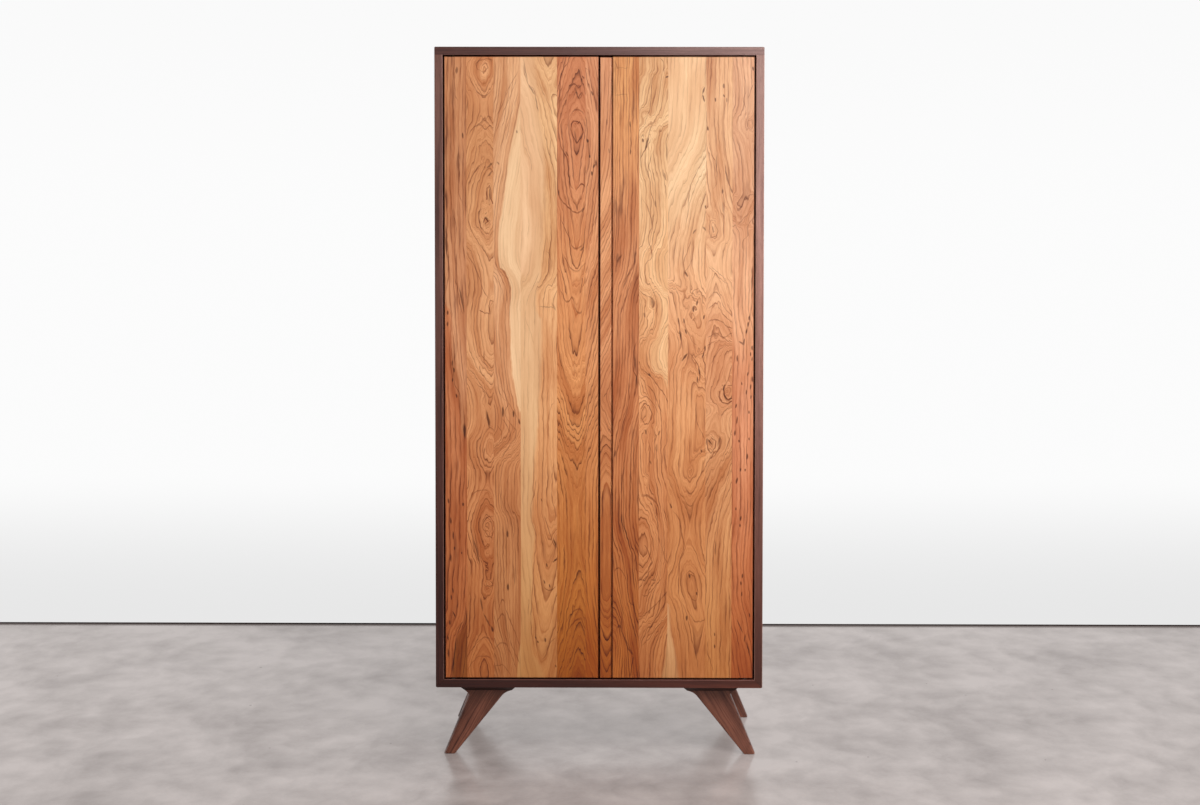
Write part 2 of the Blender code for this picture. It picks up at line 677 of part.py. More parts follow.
def door_cutters(name, side, axis):
    """Everything that is cut out of a door's boards."""
    ends = sorted((door_x(side, -OVERRUN), door_x(side, DOOR_WIDTH - BATTEN_STOP)))
    grooves = bmesh.new()
    for height in batten_heights():
        outline = dovetail_outline(height, SEAT_GAP)
        spread = DOVETAIL_FLARE * OVERRUN / DOVETAIL_DEPTH
        outline[0] = (outline[0][0] + OVERRUN, outline[0][1] + spread)
        outline[-1] = (outline[-1][0] + OVERRUN, outline[-1][1] - spread)
        prism(outline, "X", *ends, grooves)
    leaves = bmesh.new()
    pins = bmesh.new()
    for face, up in ((DOOR_HIGH, 1), (DOOR_LOW, -1)):
        floor = face - up * (LEAF_THICKNESS + SEAT_GAP)
        mouth = face + up * OVERRUN
        prism(leaf_outline(side, SEAT_GAP), "Z", min(floor, mouth), max(floor, mouth), leaves)
        deep = floor - up * (PIVOT_PIN_TIP + SEAT_GAP)
        prism(circle(0, 0, PIVOT_PIN_RADIUS + PIVOT_CLEARANCE, PIN_SIDES), "Z",
              min(deep, mouth), max(deep, mouth), pins)
    return {
        "grooves": add_helper(name + "_batten_grooves", grooves, parent=axis),
        "leaves": add_helper(name + "_leaf_mortises", leaves, parent=axis),
        "pins": add_helper(name + "_pin_sockets", pins, parent=axis),
    }


# Pivot hinges

def leaf_outline(side, gap):
    """A hinge leaf seen from above: round about the pivot, square at its far end."""
    half = LEAF_WIDTH / 2 + gap
    far = -side * (LEAF_LENGTH + gap)
    round_end = arc(0, 0, half, 90, 270, 2 * ARC_STEPS)
    if side == RIGHT:
        round_end = [(-x, y) for x, y in round_end]
    return round_end + [(far, -half), (far, half)]


def case_leaf_cutter(name, face, up):
    """Mortises in the top or bottom board for the fixed hinge leaves."""
    bm = bmesh.new()
    floor = face + up * (LEAF_THICKNESS + SEAT_GAP)
    mouth = face - up * OVERRUN
    for _, side in SIDES:
        outline = [(side * PIVOT_X + x, PIVOT_Y + y) for x, y in leaf_outline(side, SEAT_GAP)]
        prism(outline, "Z", min(floor, mouth), max(floor, mouth), bm)
    return add_helper(name + "_leaf_mortises", bm)


def leaf_screw_cutter(name, side, wide, narrow, location, parent):
    """Countersunk holes through a leaf; wide and narrow are the heights of its two faces."""
    bm = bmesh.new()
    grow = (LEAF_SCREW_HEAD_RADIUS - LEAF_SCREW_RADIUS) / LEAF_THICKNESS * OVERRUN
    step = OVERRUN if wide > narrow else -OVERRUN
    for share in LEAF_SCREW_SHARES:
        centre = (-side * LEAF_LENGTH * share, 0)
        profile = [(0, wide + step), (LEAF_SCREW_HEAD_RADIUS + grow, wide + step),
                   (LEAF_SCREW_RADIUS, narrow), (LEAF_SCREW_RADIUS, narrow - step),
                   (0, narrow - step)]
        turned(profile, "Z", SCREW_SIDES, centre, bm=bm)
    return add_helper(name + "_screw_holes", bm, location, parent)


def make_case_leaf(name, side, face, up):
    """The fixed leaf, with its pin; up is +1 in the top board and -1 in the bottom board."""
    location = (side * PIVOT_X, PIVOT_Y, face)
    body = prism(leaf_outline(side, 0), "Z", *sorted((0, up * LEAF_THICKNESS)))
    leaf = add_piece(name, body, BRASS, location)
    reach = DOOR_GAP + LEAF_THICKNESS + PIVOT_PIN_TIP
    sunk = up * LEAF_THICKNESS / 2
    shoulder = DOOR_GAP - SHOULDER_CLEARANCE
    profile = [(0, sunk), (PIVOT_PIN_RADIUS, sunk), (PIVOT_PIN_RADIUS, -up * reach), (0, -up * reach)]
    if up == 1:
        profile[1:2] = [(SHOULDER_RADIUS, sunk), (SHOULDER_RADIUS, -shoulder),
                        (PIVOT_PIN_RADIUS, -shoulder)]
    pin = add_helper(name + "_pin", turned(profile, "Z", PIN_SIDES), location)
    combine(leaf, pin, "UNION")
    combine(leaf, leaf_screw_cutter(name, side, 0, up * LEAF_THICKNESS, location, None))


def make_door_leaf(name, side, axis, face, up):
    """The leaf let into a door's end, with the hole that turns on the pin."""
    body = prism(leaf_outline(side, 0), "Z", *sorted((0, -up * LEAF_THICKNESS)))
    leaf = add_piece(name, body, BRASS, (0, 0, face), axis)
    low, high = sorted((up * OVERRUN, -up * (LEAF_THICKNESS + OVERRUN)))
    bore = prism(circle(0, 0, PIVOT_PIN_RADIUS + PIVOT_CLEARANCE, PIN_SIDES), "Z", low, high)
    combine(leaf, add_helper(name + "_bore", bore, (0, 0, face), axis))
    combine(leaf, leaf_screw_cutter(name, side, 0, -up * LEAF_THICKNESS, (0, 0, face), axis))


def make_washer(name, side):
    """The washer that carries a door, round its lower pin."""
    inner = PIVOT_PIN_RADIUS + PIVOT_CLEARANCE
    outer = LEAF_WIDTH / 2
    high = DOOR_GAP - SEAT_GAP
    profile = [(inner, 0), (outer, 0), (outer, high), (inner, high)]
    bm = turned(profile, "Z", PIN_SIDES, closed=True)
    add_piece(name, bm, NYLON, (side * PIVOT_X, PIVOT_Y, INSIDE_LOW))


# Touch latches

def latch_y(distance):
    """Y at a distance behind the door's strike plate, as the latch is measured."""
    return DOOR_BACK + STRIKE_THICKNESS + SEAT_GAP + distance


def make_latch(name, side):
    """Housing under the top board, with a sprung plunger that meets a strike on the door."""
    front = latch_y(PLUNGER_TIP_LENGTH + PLUNGER_NECK)
    centre = side * LATCH_OFFSET
    half = LATCH_BODY_WIDTH / 2
    wing = half + LATCH_FLANGE_WIDTH
    flange = -LATCH_FLANGE_THICKNESS
    low = -LATCH_BODY_HEIGHT
    ease = LATCH_BODY_ROUND
    outline = [(wing, 0), (-wing, 0), (-wing, flange), (-half, flange)]
    outline += arc(-half + ease, low + ease, ease, 180, 270, ARC_STEPS)
    outline += arc(half - ease, low + ease, ease, 270, 360, ARC_STEPS)
    outline += [(half, flange), (wing, flange)]
    location = (centre, front, INSIDE_HIGH)
    housing = add_piece(name + "_latch_housing", prism(outline, "Y", 0, LATCH_LENGTH),
                        BLACK_PLASTIC, location)
    bore = prism(circle(0, -LATCH_DROP, LATCH_BORE_RADIUS, PIN_SIDES), "Y",
                 -OVERRUN, LATCH_BORE_DEPTH)
    combine(housing, add_helper(name + "_latch_bore", bore, location))
    holes = bmesh.new()
    for share in LATCH_SCREW_SHARES:
        for edge in (LEFT, RIGHT):
            x = edge * (half + LATCH_FLANGE_WIDTH / 2)
            prism(circle(x, LATCH_LENGTH * share, LATCH_SCREW_RADIUS, SCREW_SIDES), "Z",
                  flange - OVERRUN, OVERRUN, holes)
    combine(housing, add_helper(name + "_latch_screw_holes", holes, location))

    tip_back = PLUNGER_TIP_LENGTH
    end = tip_back + PLUNGER_LENGTH
    profile = [(0, 0), (PLUNGER_TIP_RADIUS - PLUNGER_CHAMFER, 0), (PLUNGER_TIP_RADIUS, PLUNGER_CHAMFER),
               (PLUNGER_TIP_RADIUS, tip_back), (PLUNGER_RADIUS, tip_back), (PLUNGER_RADIUS, end),
               (0, end)]
    add_piece(name + "_latch_plunger", turned(profile, "Y", PIN_SIDES), STEEL,
              (centre, latch_y(0), INSIDE_HIGH - LATCH_DROP))


def make_strike(name, side, axis):
    """Countersunk steel disc on the door's back, opposite the plunger."""
    inner, sink = STRIKE_HOLE_RADIUS, STRIKE_SINK_RADIUS
    back = STRIKE_THICKNESS
    profile = [(inner, 0), (STRIKE_RADIUS, 0), (STRIKE_RADIUS, back - STRIKE_CHAMFER),
               (STRIKE_RADIUS - STRIKE_CHAMFER, back), (sink, back)]
    bm = turned(profile, "Y", PIN_SIDES, closed=True)
    x = side * LATCH_OFFSET - side * PIVOT_X
    add_piece(name + "_latch_strike", bm, STEEL,
              (x, door_y(DOOR_THICKNESS), INSIDE_HIGH - LATCH_DROP), axis)


# Legs

def quadratic(start, control, end, share):
    """A point on a curve that leaves start towards control and arrives at end from it."""
    rest = 1 - share
    return [rest * rest * a + 2 * rest * share * b + share * share * c
            for a, b, c in zip(start, control, end)]


def rounded_section(low_u, high_u, low_v, high_v, radii, height):
    """A rectangle with its outer corners and inner corners rounded; u inward, v backward."""
    outer, inner = radii
    points = arc(low_u + outer, low_v + outer, outer, 180, 270, ARC_STEPS)
    points += arc(high_u - inner, low_v + inner, inner, 270, 360, ARC_STEPS)
    points += arc(high_u - inner, high_v - inner, inner, 0, 90, ARC_STEPS)
    points += arc(low_u + outer, high_v - outer, outer, 90, 180, ARC_STEPS)
    return [(u, v, height) for u, v in points]


def leg_sections():
    """Sections from the foot up: taper, outer shoulder and inner flare, then the tenon."""
    top = PLATE_LOW - SEAT_GAP
    shoulder_low = PLATE_LOW - SHOULDER_HEIGHT
    slope_outer = (LEG_TOP_OUTER - FOOT_OUTER) / shoulder_low
    foot_inner = FOOT_OUTER + FOOT_WIDTH
    knee_height = PLATE_LOW - FLARE_CONTROL_DROP
    knee = (LEG_TOP_OUTER + LEG_TOP_WIDTH, knee_height)
    slope_inner = (knee[0] - foot_inner) / knee_height
    flare_low = PLATE_LOW - FLARE_DROP
    flare_start = (foot_inner + slope_inner * flare_low, flare_low)
    flare_end = (PLATE_OUTER + PLATE_LENGTH - PLATE_CHAMFER, top)

    def outer_at(height):
        return FOOT_OUTER + slope_outer * height + max(0, height - shoulder_low) * (
            -1 - slope_outer)

    def thickness_at(height):
        share = height / PLATE_LOW
        return LEG_FOOT_THICKNESS + (LEG_THICKNESS - LEG_FOOT_THICKNESS) * share

    round_body = (LEG_OUTER_ROUND, LEG_INNER_ROUND)
    ease = FOOT_EASE
    sections = [rounded_section(FOOT_OUTER + ease, foot_inner - ease, ease,
                                LEG_FOOT_THICKNESS - ease,
                                (LEG_OUTER_ROUND - ease, LEG_INNER_ROUND - ease), 0)]
    inner_points = [(foot_inner + slope_inner * ease, ease)]
    for step in range(FLARE_STEPS + 1):
        inner_points.append(quadratic(flare_start, knee, flare_end, step / FLARE_STEPS))
    for inner, height in inner_points:
        share = max(0, (height - flare_low) / (top - flare_low))
        radii = [radius + (LEG_TOP_ROUND - radius) * share for radius in round_body]
        sections.append(rounded_section(outer_at(height), inner, 0, thickness_at(height),
                                        radii, height))
    low_u = tenon_start()
    low_v = (LEG_THICKNESS - TENON_WIDTH) / 2
    for height in (top, top + TENON_HEIGHT):
        sections.append(rounded_section(low_u, low_u + TENON_LENGTH, low_v, low_v + TENON_WIDTH,
                                        (TENON_ROUND, TENON_ROUND), height))
    return sections


def tenon_start():
    """Inward distance at which the tenon begins."""
    return PLATE_OUTER + (PLATE_LENGTH - TENON_LENGTH) * TENON_PLACE_SHARE


def make_leg(place_name, side, end):
    """One leg and its plate; end is -1 in front and +1 behind."""
    corner = Vector((side * HALF_WIDTH, end * (CASE_DEPTH / 2 - LEG_INSET), 0))

    def to_corner(sections):
        return [[(-side * u, -end * v, height) for u, v, height in section]
                for section in sections]

    add_piece(place_name + "_leg", loft(to_corner(leg_sections())), WALNUT_LEG, corner)
    plate_rows = []
    for height, inset in ((PLATE_LOW, PLATE_CHAMFER), (PLATE_LOW + PLATE_CHAMFER, 0),
                          (LEG_HEIGHT, 0)):
        grown = PLATE_CHAMFER - inset
        plate_rows.append([(u, v, height) for u, v in rectangle(
            PLATE_OUTER + inset, PLATE_OUTER + PLATE_LENGTH - inset,
            -grown, LEG_THICKNESS + grown)])
    plate = add_piece(place_name + "_plate", loft(to_corner(plate_rows)), WALNUT, corner)
    low_u = tenon_start() - SEAT_GAP
    low_v = (LEG_THICKNESS - TENON_WIDTH) / 2 - SEAT_GAP
    mortise_rows = [rounded_section(low_u, low_u + TENON_LENGTH + 2 * SEAT_GAP, low_v,
                                    low_v + TENON_WIDTH + 2 * SEAT_GAP,
                                    (TENON_ROUND, TENON_ROUND), height)
                    for height in (PLATE_LOW - OVERRUN, PLATE_LOW + TENON_HEIGHT + SEAT_GAP)]
    combine(plate, add_helper(place_name + "_mortise", loft(to_corner(mortise_rows)), corner))


def main():
    clear_scene()
    helpers = {"back_recess": back_recess_helper(), "shelf_housing": shelf_housing_helper()}
    make_top(helpers)
    make_bottom(helpers)
    for name, side in SIDES:
        make_side(name + "_side", side, helpers)
    make_back_panel()
    make_shelves()
    make_shelf_pins()
    for side_name, side in SIDES:
        name = side_name + "_door"
        axis = add_door_axis(name, side)
        make_door_boards(name, side, axis, door_cutters(name, side, axis))
        make_battens(name, side, axis)
        make_strike(name, side, axis)
        make_latch(name, side)
        make_washer(name + "_washer", side)
        for end_name, case_face, door_face, up in (("top", INSIDE_HIGH, DOOR_HIGH, 1),
                                                   ("bottom", INSIDE_LOW, DOOR_LOW, -1)):
            make_case_leaf(f"{name}_{end_name}_case_leaf", side, case_face, up)
            make_door_leaf(f"{name}_{end_name}_door_leaf", side, axis, door_face, up)
        if side == RIGHT:
            make_strip(axis)
        make_leg(side_name + "_front", side, -1)
        make_leg(side_name + "_rear", side, 1)
    bpy.context.view_layer.update()


main()
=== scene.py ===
"""The looks of a tall storage cabinet: cherry doors in a walnut case on splayed legs."""

import json
import math
import bpy
import bmesh
from mathutils import Matrix, Vector


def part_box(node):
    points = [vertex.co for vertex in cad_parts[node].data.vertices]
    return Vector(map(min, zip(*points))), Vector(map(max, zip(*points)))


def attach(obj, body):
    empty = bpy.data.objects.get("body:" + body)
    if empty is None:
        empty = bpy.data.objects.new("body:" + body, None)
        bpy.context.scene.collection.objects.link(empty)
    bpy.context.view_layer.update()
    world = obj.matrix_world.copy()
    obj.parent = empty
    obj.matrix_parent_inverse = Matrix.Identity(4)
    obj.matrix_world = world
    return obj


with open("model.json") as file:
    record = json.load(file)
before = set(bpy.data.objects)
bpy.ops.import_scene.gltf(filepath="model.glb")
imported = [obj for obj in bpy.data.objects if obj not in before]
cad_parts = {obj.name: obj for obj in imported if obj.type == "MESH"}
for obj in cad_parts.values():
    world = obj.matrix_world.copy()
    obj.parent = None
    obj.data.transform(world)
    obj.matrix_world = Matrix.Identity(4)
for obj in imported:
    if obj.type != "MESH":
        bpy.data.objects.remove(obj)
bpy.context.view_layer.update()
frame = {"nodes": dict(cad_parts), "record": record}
scene = bpy.context.scene

# Materials count in millimetres and the scene in metres.
MM = 1000

# The camera, as the photograph's own perspective gives it. Pixels are those of a 1200 x 805 picture.
PICTURE_WIDTH = 1200
PICTURE_HEIGHT = 805
CAMERA_PLACE = Vector((0.131, -5.4, 1.531))
CAMERA_YAW = math.radians(-0.29)
CAMERA_PITCH = math.radians(2.07)
CAMERA_ROLL = math.radians(0.07)
FOCAL_PIXELS = 1854
CENTRE_X = 637
CENTRE_Y = 279.5
SENSOR_WIDTH = 36
NEAREST = 0.05
FARTHEST = 100

# Places of the cabinet, in metres.
DOOR_FRONT = -0.252
CASE_FRONT = -0.254
PIVOT = (0.408, -0.241)
DOOR_TOP = 1.962
DOOR_FOOT = 0.228
# Others, in millimetres.
CASE_SIDE = 457
CASE_TOP = 1989
CASE_LOW = 201
INSIDE = 434
INSIDE_TOP = 1966
INSIDE_FLOOR = 224
FOOT_CENTRE = (424.75, 0)
LEG_HEAD_CENTRE = (318, 178)
# The pixel column of the photograph where the doors' middle is taken to be.
DOOR_MIDDLE = 600

# Screws. Shares are along a leaf, from the pivot, and the rest is in metres.
UP = (0, 0, 1)
DOWN = (0, 0, -1)
BACK = (0, 1, 0)
SCREW_SIDES = 28
LEAF_LENGTH = 0.052
LEAF_SCREWS = (0.42, 0.82)
LATCH_SCREW_OUT = 0.0145
LATCH_FLANGE = 1.963
PLATE_SCREW_IN = 0.0175

# Studio. Glows and lights are shares of a screen's white, and the floor's places are in metres.
FLOOR_HALF = 60
FLOOR_END = 1.435
# The painted shadow line before the floor's end, where the paper meets it, in millimetres from it.
FLOOR_SHADOW_LINE = (-44, -10)
FLOOR_GLOW = 0.32
FLOOR_SHADES = ((168, 157, 153), (124, 114, 110))
FLOOR_GLOW_SHADES = ((224, 212, 208), (184, 172, 168))
FLOOR_STAIN = (112, 100, 96)
FLOOR_END_SHADOW = (118, 108, 106)
# The height and colours of a dark strip at the paper's edge: painted shadow where the paper meets the
# floor.
LIP = 0.0055
PAPER_NEAR = 0.80
PAPER = 0.97
PAPER_ABOVE = 0.955
PAPER_FULL_FROM = 5.5
PAPER_SHADE = (150, 148, 147)
PAINTED_SHADOW_LIP_SHADES = ((58, 48, 46), (74, 64, 62))
FRONT_DIM = 0.29
BACK_CAST = 0.55

# Cherry. The first is a colour, and the others are what a colour is multiplied by.
SAP = (234, 183, 139)
WARM = (0.70, 0.52, 0.40, 1)
SMOKE = (0.50, 0.42, 0.42, 1)
DRAWN = (0.30, 0.15, 0.10, 1)
RUSSET = (0.64, 0.41, 0.27, 1)
SPECK = (0.14, 0.07, 0.05, 1)
# Painted shade along the doors' outer arrises, which makes the gaps beside them look darker and wider.
PAINTED_RIM_SHADE = (0.26, 0.15, 0.11, 1)
# How wide marks are drawn for their width, and how far marks and lines are full.
MARK_SPREAD = 1.25
MARK_CORE = 0.45
LINE_CORE = 0.34
LINE_TAPER = 0.72
LINE_WIDEST = 2.5
# The pixel rows of the photograph between which the figure gets firmer.
FIRM_FROM = 380
FIRM_FULL = 500
# Lamps light the doors less than a screen's white, so their written colours are lifted by this.
LIFT = (1.23, 1.37, 1.45)
BRIGHTEST = 0.97
# The boards are deeper and redder towards the floor, partly their own colour and partly painted light and
# shade: lightest at the middle height, a little darker at the top and darkest towards the floor: (py,
# shares of their written colours).
HEIGHT_TINT_AND_PAINTED_SHADE = [(50, (0.83, 0.78, 0.74)), (150, (0.88, 0.86, 0.84)), (250, (0.94, 0.93, 0.92)),
             (350, (1.0, 1.0, 1.0)), (450, (0.95, 0.91, 0.84)), (550, (0.85, 0.72, 0.56)),
             (640, (0.73, 0.57, 0.36)), (690, (0.66, 0.48, 0.28))]

# Sizes of its noises, in millimetres across, up and through a board.
BROAD_SIZE = (26, 85, 60)
FINE_SIZE = (7, 17, 40)
JAG_SIZE = (8.5, 210, 40)
CURL_SIZE = (15, 26, 40)
HAZE_SIZE = (11, 105, 40)
GRAIN_SIZE = (1.1, 20, 1.1)
# How far the figure wanders across and up, in millimetres.
BROAD_SWAY = (9, 22)
FINE_SWAY = (2.6, 9)
LINE_SWAY = (3, 5)
# How full the darker layers get.
RUSSET_SHARE = 0.8
RING_SHARE = 0.95
THIN_SHARE = 0.3
SPECK_SHARE = 0.85
PAINTED_RIM_SHARE = 0.8
RING_JITTER = 1.1
CHERRY_ROUGHNESS = (0.43, 0.34)
CHERRY_SPECULAR = 0.36
# Where the painted shade on an arris begins and ends, and where the doors' front begins to count as front,
# in millimetres.
PAINTED_RIM_FADE = (2.2, 1.2)
FRONT_FADE = (1.6, 1.0)
GRAIN_DEPTH = 0.04

# Walnut. Its sizes are along the grain and across it both ways.
SWAY_SIZE = (190, 38, 38)
RIPPLE_SIZE = (52, 8, 8)
PORE_SIZE = (0.42, 0.42, 6.5)
PORE_SHADE = (0.35, 0.30, 0.28, 1)
RING_BOW = 0.0016
# How strong the painted light on the case's arrises is, and where it fades across the arris and behind the
# front.
EDGE_SHARE = 0.5
EDGE_FADE = (2.3, 0.9)
FACE_FADE = (3.0, 1.2)
WALNUT_JITTER = 1.6
WALNUT_SPECULAR = 0.4
PORE_DEPTH = 0.06

# Curves flatter than this are taken as level.
FLAT = 1e-6

forward = Vector((math.sin(CAMERA_YAW) * math.cos(CAMERA_PITCH),
                  math.cos(CAMERA_YAW) * math.cos(CAMERA_PITCH), -math.sin(CAMERA_PITCH)))
level = Vector((math.cos(CAMERA_YAW), -math.sin(CAMERA_YAW), 0))
rightward = level * math.cos(CAMERA_ROLL) + level.cross(forward) * math.sin(CAMERA_ROLL)
upward = rightward.cross(forward)


def on_door(px, py):
    """The place, in millimetres across and up, where a pixel of the photograph meets the doors' front."""
    ray = (forward + rightward * ((px - CENTRE_X) / FOCAL_PIXELS)
           - upward * ((py - CENTRE_Y) / FOCAL_PIXELS))
    place = CAMERA_PLACE + ray * ((DOOR_FRONT - CAMERA_PLACE.y) / ray.y)
    return place.x * MM, place.z * MM


PIXEL = on_door(601, 360)[0] - on_door(600, 360)[0]


def make_camera():
    data = bpy.data.cameras.new("camera")
    data.sensor_width = SENSOR_WIDTH
    data.lens = FOCAL_PIXELS / PICTURE_WIDTH * SENSOR_WIDTH
    data.shift_x = (PICTURE_WIDTH / 2 - CENTRE_X) / PICTURE_WIDTH
    data.shift_y = (CENTRE_Y - PICTURE_HEIGHT / 2) / PICTURE_WIDTH
    data.clip_start = NEAREST
    data.clip_end = FARTHEST
    camera = bpy.data.objects.new("camera", data)
    turn = Matrix((rightward, upward, -forward)).transposed()
    camera.matrix_world = Matrix.Translation(CAMERA_PLACE) @ turn.to_4x4()
    scene.collection.objects.link(camera)
    scene.camera = camera


def rgb(red, green, blue):
    """A colour written as a screen shows it, as the linear one that a shader takes."""
    shares = [value / 255 for value in (red, green, blue)]
    return tuple(s / 12.92 if s <= 0.04045 else ((s + 0.055) / 1.055) ** 2.4
                 for s in shares) + (1,)


def lifted(shade):
    return tuple(min(value * lift, BRIGHTEST) for value, lift in zip(rgb(*shade), LIFT)) + (1,)


class Field:
    """A value that a material's nodes work out at each point of a surface."""

    def __init__(self, tree, socket):
        self.tree = tree
        self.socket = socket

    def math(self, operation, *others, clamp=False):
        node = self.tree.nodes.new("ShaderNodeMath")
        node.operation = operation
        node.use_clamp = clamp
        for into, value in zip(node.inputs, (self, *others)):
            put(self.tree, into, value)
        return Field(self.tree, node.outputs[0])

    def __add__(self, other):
        return self.math("ADD", other)

    def __sub__(self, other):
        return self.math("SUBTRACT", other)

    def __mul__(self, other):
        return self.math("MULTIPLY", other)

    def __truediv__(self, other):
        return self.math("DIVIDE", other)

    def clamped(self):
        """This value, kept from 0 to 1."""
        return self.math("ADD", 0.0, clamp=True)

    def away(self, place):
        """How far this value is from a place."""
        return (self - place).math("ABSOLUTE")

    def ramp(self, low, high, to_low=0.0, to_high=1.0, smooth=True):
        node = self.tree.nodes.new("ShaderNodeMapRange")
        node.interpolation_type = "SMOOTHSTEP" if smooth else "LINEAR"
        for into, value in zip(node.inputs, (self, low, high, to_low, to_high)):
            put(self.tree, into, value)
        return Field(self.tree, node.outputs[0])

    def curve(self, points):
        """A smooth curve through (value, result) points."""
        points = sorted(points)
        first, last = points[0][0], points[-1][0]
        results = [result for _, result in points]
        low, high = min(results), max(results)
        if high - low < FLAT:
            return (self * 0) + low
        node = self.tree.nodes.new("ShaderNodeFloatCurve")
        line = node.mapping.curves[0]
        while len(line.points) < len(points):
            line.points.new(0.5, 0.5)
        for point, (value, result) in zip(line.points, points):
            point.location = ((value - first) / (last - first), (result - low) / (high - low))
            point.handle_type = "AUTO_CLAMPED"
        node.mapping.update()
        put(self.tree, node.inputs[1], self.ramp(first, last, smooth=False))
        return Field(self.tree, node.outputs[0]) * (high - low) + low

    def colours(self, stops):
        """Colours along this value."""
        stops = sorted(stops, key=lambda stop: stop[0])
        first, last = stops[0][0], stops[-1][0]
        node = self.tree.nodes.new("ShaderNodeValToRGB")
        node.color_ramp.interpolation = "B_SPLINE"
        while len(node.color_ramp.elements) < len(stops):
            node.color_ramp.elements.new(0.5)
        for element, (value, colour) in zip(node.color_ramp.elements, stops):
            element.position = (value - first) / (last - first)
            element.color = colour
        put(self.tree, node.inputs[0], self.ramp(first, last, smooth=False))
        return Field(self.tree, node.outputs[0])


def put(tree, into, value):
    if isinstance(value, Field):
        tree.links.new(value.socket, into)
    else:
        into.default_value = value


def joined(operation, held, field):
    """A field joined to those already held, where there are any."""
    return field if held is None else held.math(operation, field)


def split(tree, socket):
    """The three parts of a vector."""
    parts = tree.nodes.new("ShaderNodeSeparateXYZ")
    tree.links.new(socket, parts.inputs[0])
    return [Field(tree, output) for output in parts.outputs]


class Finish:
    """A material while its nodes are laid out."""

    def __init__(self, name):
        self.material = bpy.data.materials.new(name)
        self.material.use_nodes = True
        self.tree = self.material.node_tree
        self.shader = self.tree.nodes["Principled BSDF"]
        node = self.tree.nodes.new("ShaderNodeTexCoord")
        scaled = self.vector_math("SCALE", node.outputs["Object"])
        scaled.inputs["Scale"].default_value = MM
        self.x, self.y, self.z = split(self.tree, scaled.outputs[0])

    def vector_math(self, operation, socket):
        node = self.tree.nodes.new("ShaderNodeVectorMath")
        node.operation = operation
        self.tree.links.new(socket, node.inputs[0])
        return node

    def set(self, name, value):
        put(self.tree, self.shader.inputs[name], value)

    def point(self, x, y, z=0.0):
        node = self.tree.nodes.new("ShaderNodeCombineXYZ")
        for into, value in zip(node.inputs, (x, y, z)):
            put(self.tree, into, value)
        return Field(self.tree, node.outputs[0])

    def noise(self, x, y, z=0.0, detail=1.0, colour=False):
        """Soft noise about 0, near -0.5 to 0.5. With colour it is three such fields."""
        node = self.tree.nodes.new("ShaderNodeTexNoise")
        node.noise_dimensions = "3D"
        put(self.tree, node.inputs["Vector"], self.point(x, y, z))
        node.inputs["Scale"].default_value = 1
        node.inputs["Detail"].default_value = detail
        if colour:
            return [part - 0.5 for part in split(self.tree, node.outputs["Color"])]
        return Field(self.tree, node.outputs["Fac"]) - 0.5

    def lumps(self, fields, sizes, shifts=(0, 0, 0), detail=1.0, colour=False):
        """Noise whose lumps have these sizes along these fields, moved on by the shifts."""
        spots = []
        for field, size, shift in zip(fields, sizes, shifts):
            spot = field / size
            spots.append(spot + shift if shift else spot)
        return self.noise(*spots, detail, colour)

    def framed(self, place, x, y, turn, scale=(1, 1, 1)):
        """A place, as it is counted from a middle point along turned axes."""
        node = self.tree.nodes.new("ShaderNodeMapping")
        node.vector_type = "TEXTURE"
        put(self.tree, node.inputs["Vector"], place)
        node.inputs["Location"].default_value = (x, y, 0)
        node.inputs["Rotation"].default_value = (0, 0, turn)
        node.inputs["Scale"].default_value = scale
        return node.outputs[0]

    def bell(self, place, x, y, half_width, half_height, turn=0.0, core=0.0):
        """1 in the middle of an oval, and 0 at its edge and beyond."""
        reach = self.vector_math("LENGTH", self.framed(place, x, y, turn, (half_width, half_height, 1)))
        return Field(self.tree, reach.outputs["Value"]).ramp(1, core)

    def reach(self, place, first, second):
        """How far a place is from the straight line between two points."""
        (x1, y1), (x2, y2) = first, second
        half = math.hypot(x2 - x1, y2 - y1) / 2
        own = self.framed(place, (x1 + x2) / 2, (y1 + y2) / 2, math.atan2(y2 - y1, x2 - x1))
        held = own
        for operation, end in (("MINIMUM", half), ("MAXIMUM", -half)):
            step = self.vector_math(operation, held)
            step.inputs[1].default_value = (end, 0, 0)
            held = step.outputs[0]
        gap = self.vector_math("DISTANCE", own)
        self.tree.links.new(held, gap.inputs[1])
        return Field(self.tree, gap.outputs["Value"])

    def blend(self, share, first, second, kind="MIX"):
        node = self.tree.nodes.new("ShaderNodeMix")
        node.data_type = "RGBA"
        node.blend_type = kind
        put(self.tree, node.inputs[0], share)
        put(self.tree, node.inputs[6], first)
        put(self.tree, node.inputs[7], second)
        return Field(self.tree, node.outputs[2])

    def stain(self, share, colour, tint):
        """A colour, multiplied by a tint as far as the share says."""
        return self.blend(share, colour, tint, "MULTIPLY")

    def bump(self, height, depth):
        node = self.tree.nodes.new("ShaderNodeBump")
        node.inputs["Strength"].default_value = 1
        node.inputs["Distance"].default_value = depth / MM
        put(self.tree, node.inputs["Height"], height)
        self.tree.links.new(node.outputs[0], self.shader.inputs["Normal"])


def oval(m, place, px, py, half_width, half_height, turn=0):
    """A bell whose middle and size are pixels of the photograph."""
    return m.bell(place, *on_door(px, py), half_width * PIXEL, half_height * PIXEL, math.radians(turn))


def stroke(m, place, px1, py1, px2, py2, half_width, strength=1.0):
    """A short dark mark from one pixel to another, widest in the middle."""
    x1, z1 = on_door(px1, py1)
    x2, z2 = on_door(px2, py2)
    width = half_width * MARK_SPREAD * PIXEL
    length = math.hypot(x2 - x1, z2 - z1) / 2 + width
    return m.bell(place, (x1 + x2) / 2, (z1 + z2) / 2, length, width,
                  math.atan2(z2 - z1, x2 - x1), MARK_CORE) * strength


def one_way(values):
    steps = [after - before for before, after in zip(values, values[1:])]
    return all(step > 0 for step in steps) or all(step < 0 for step in steps)


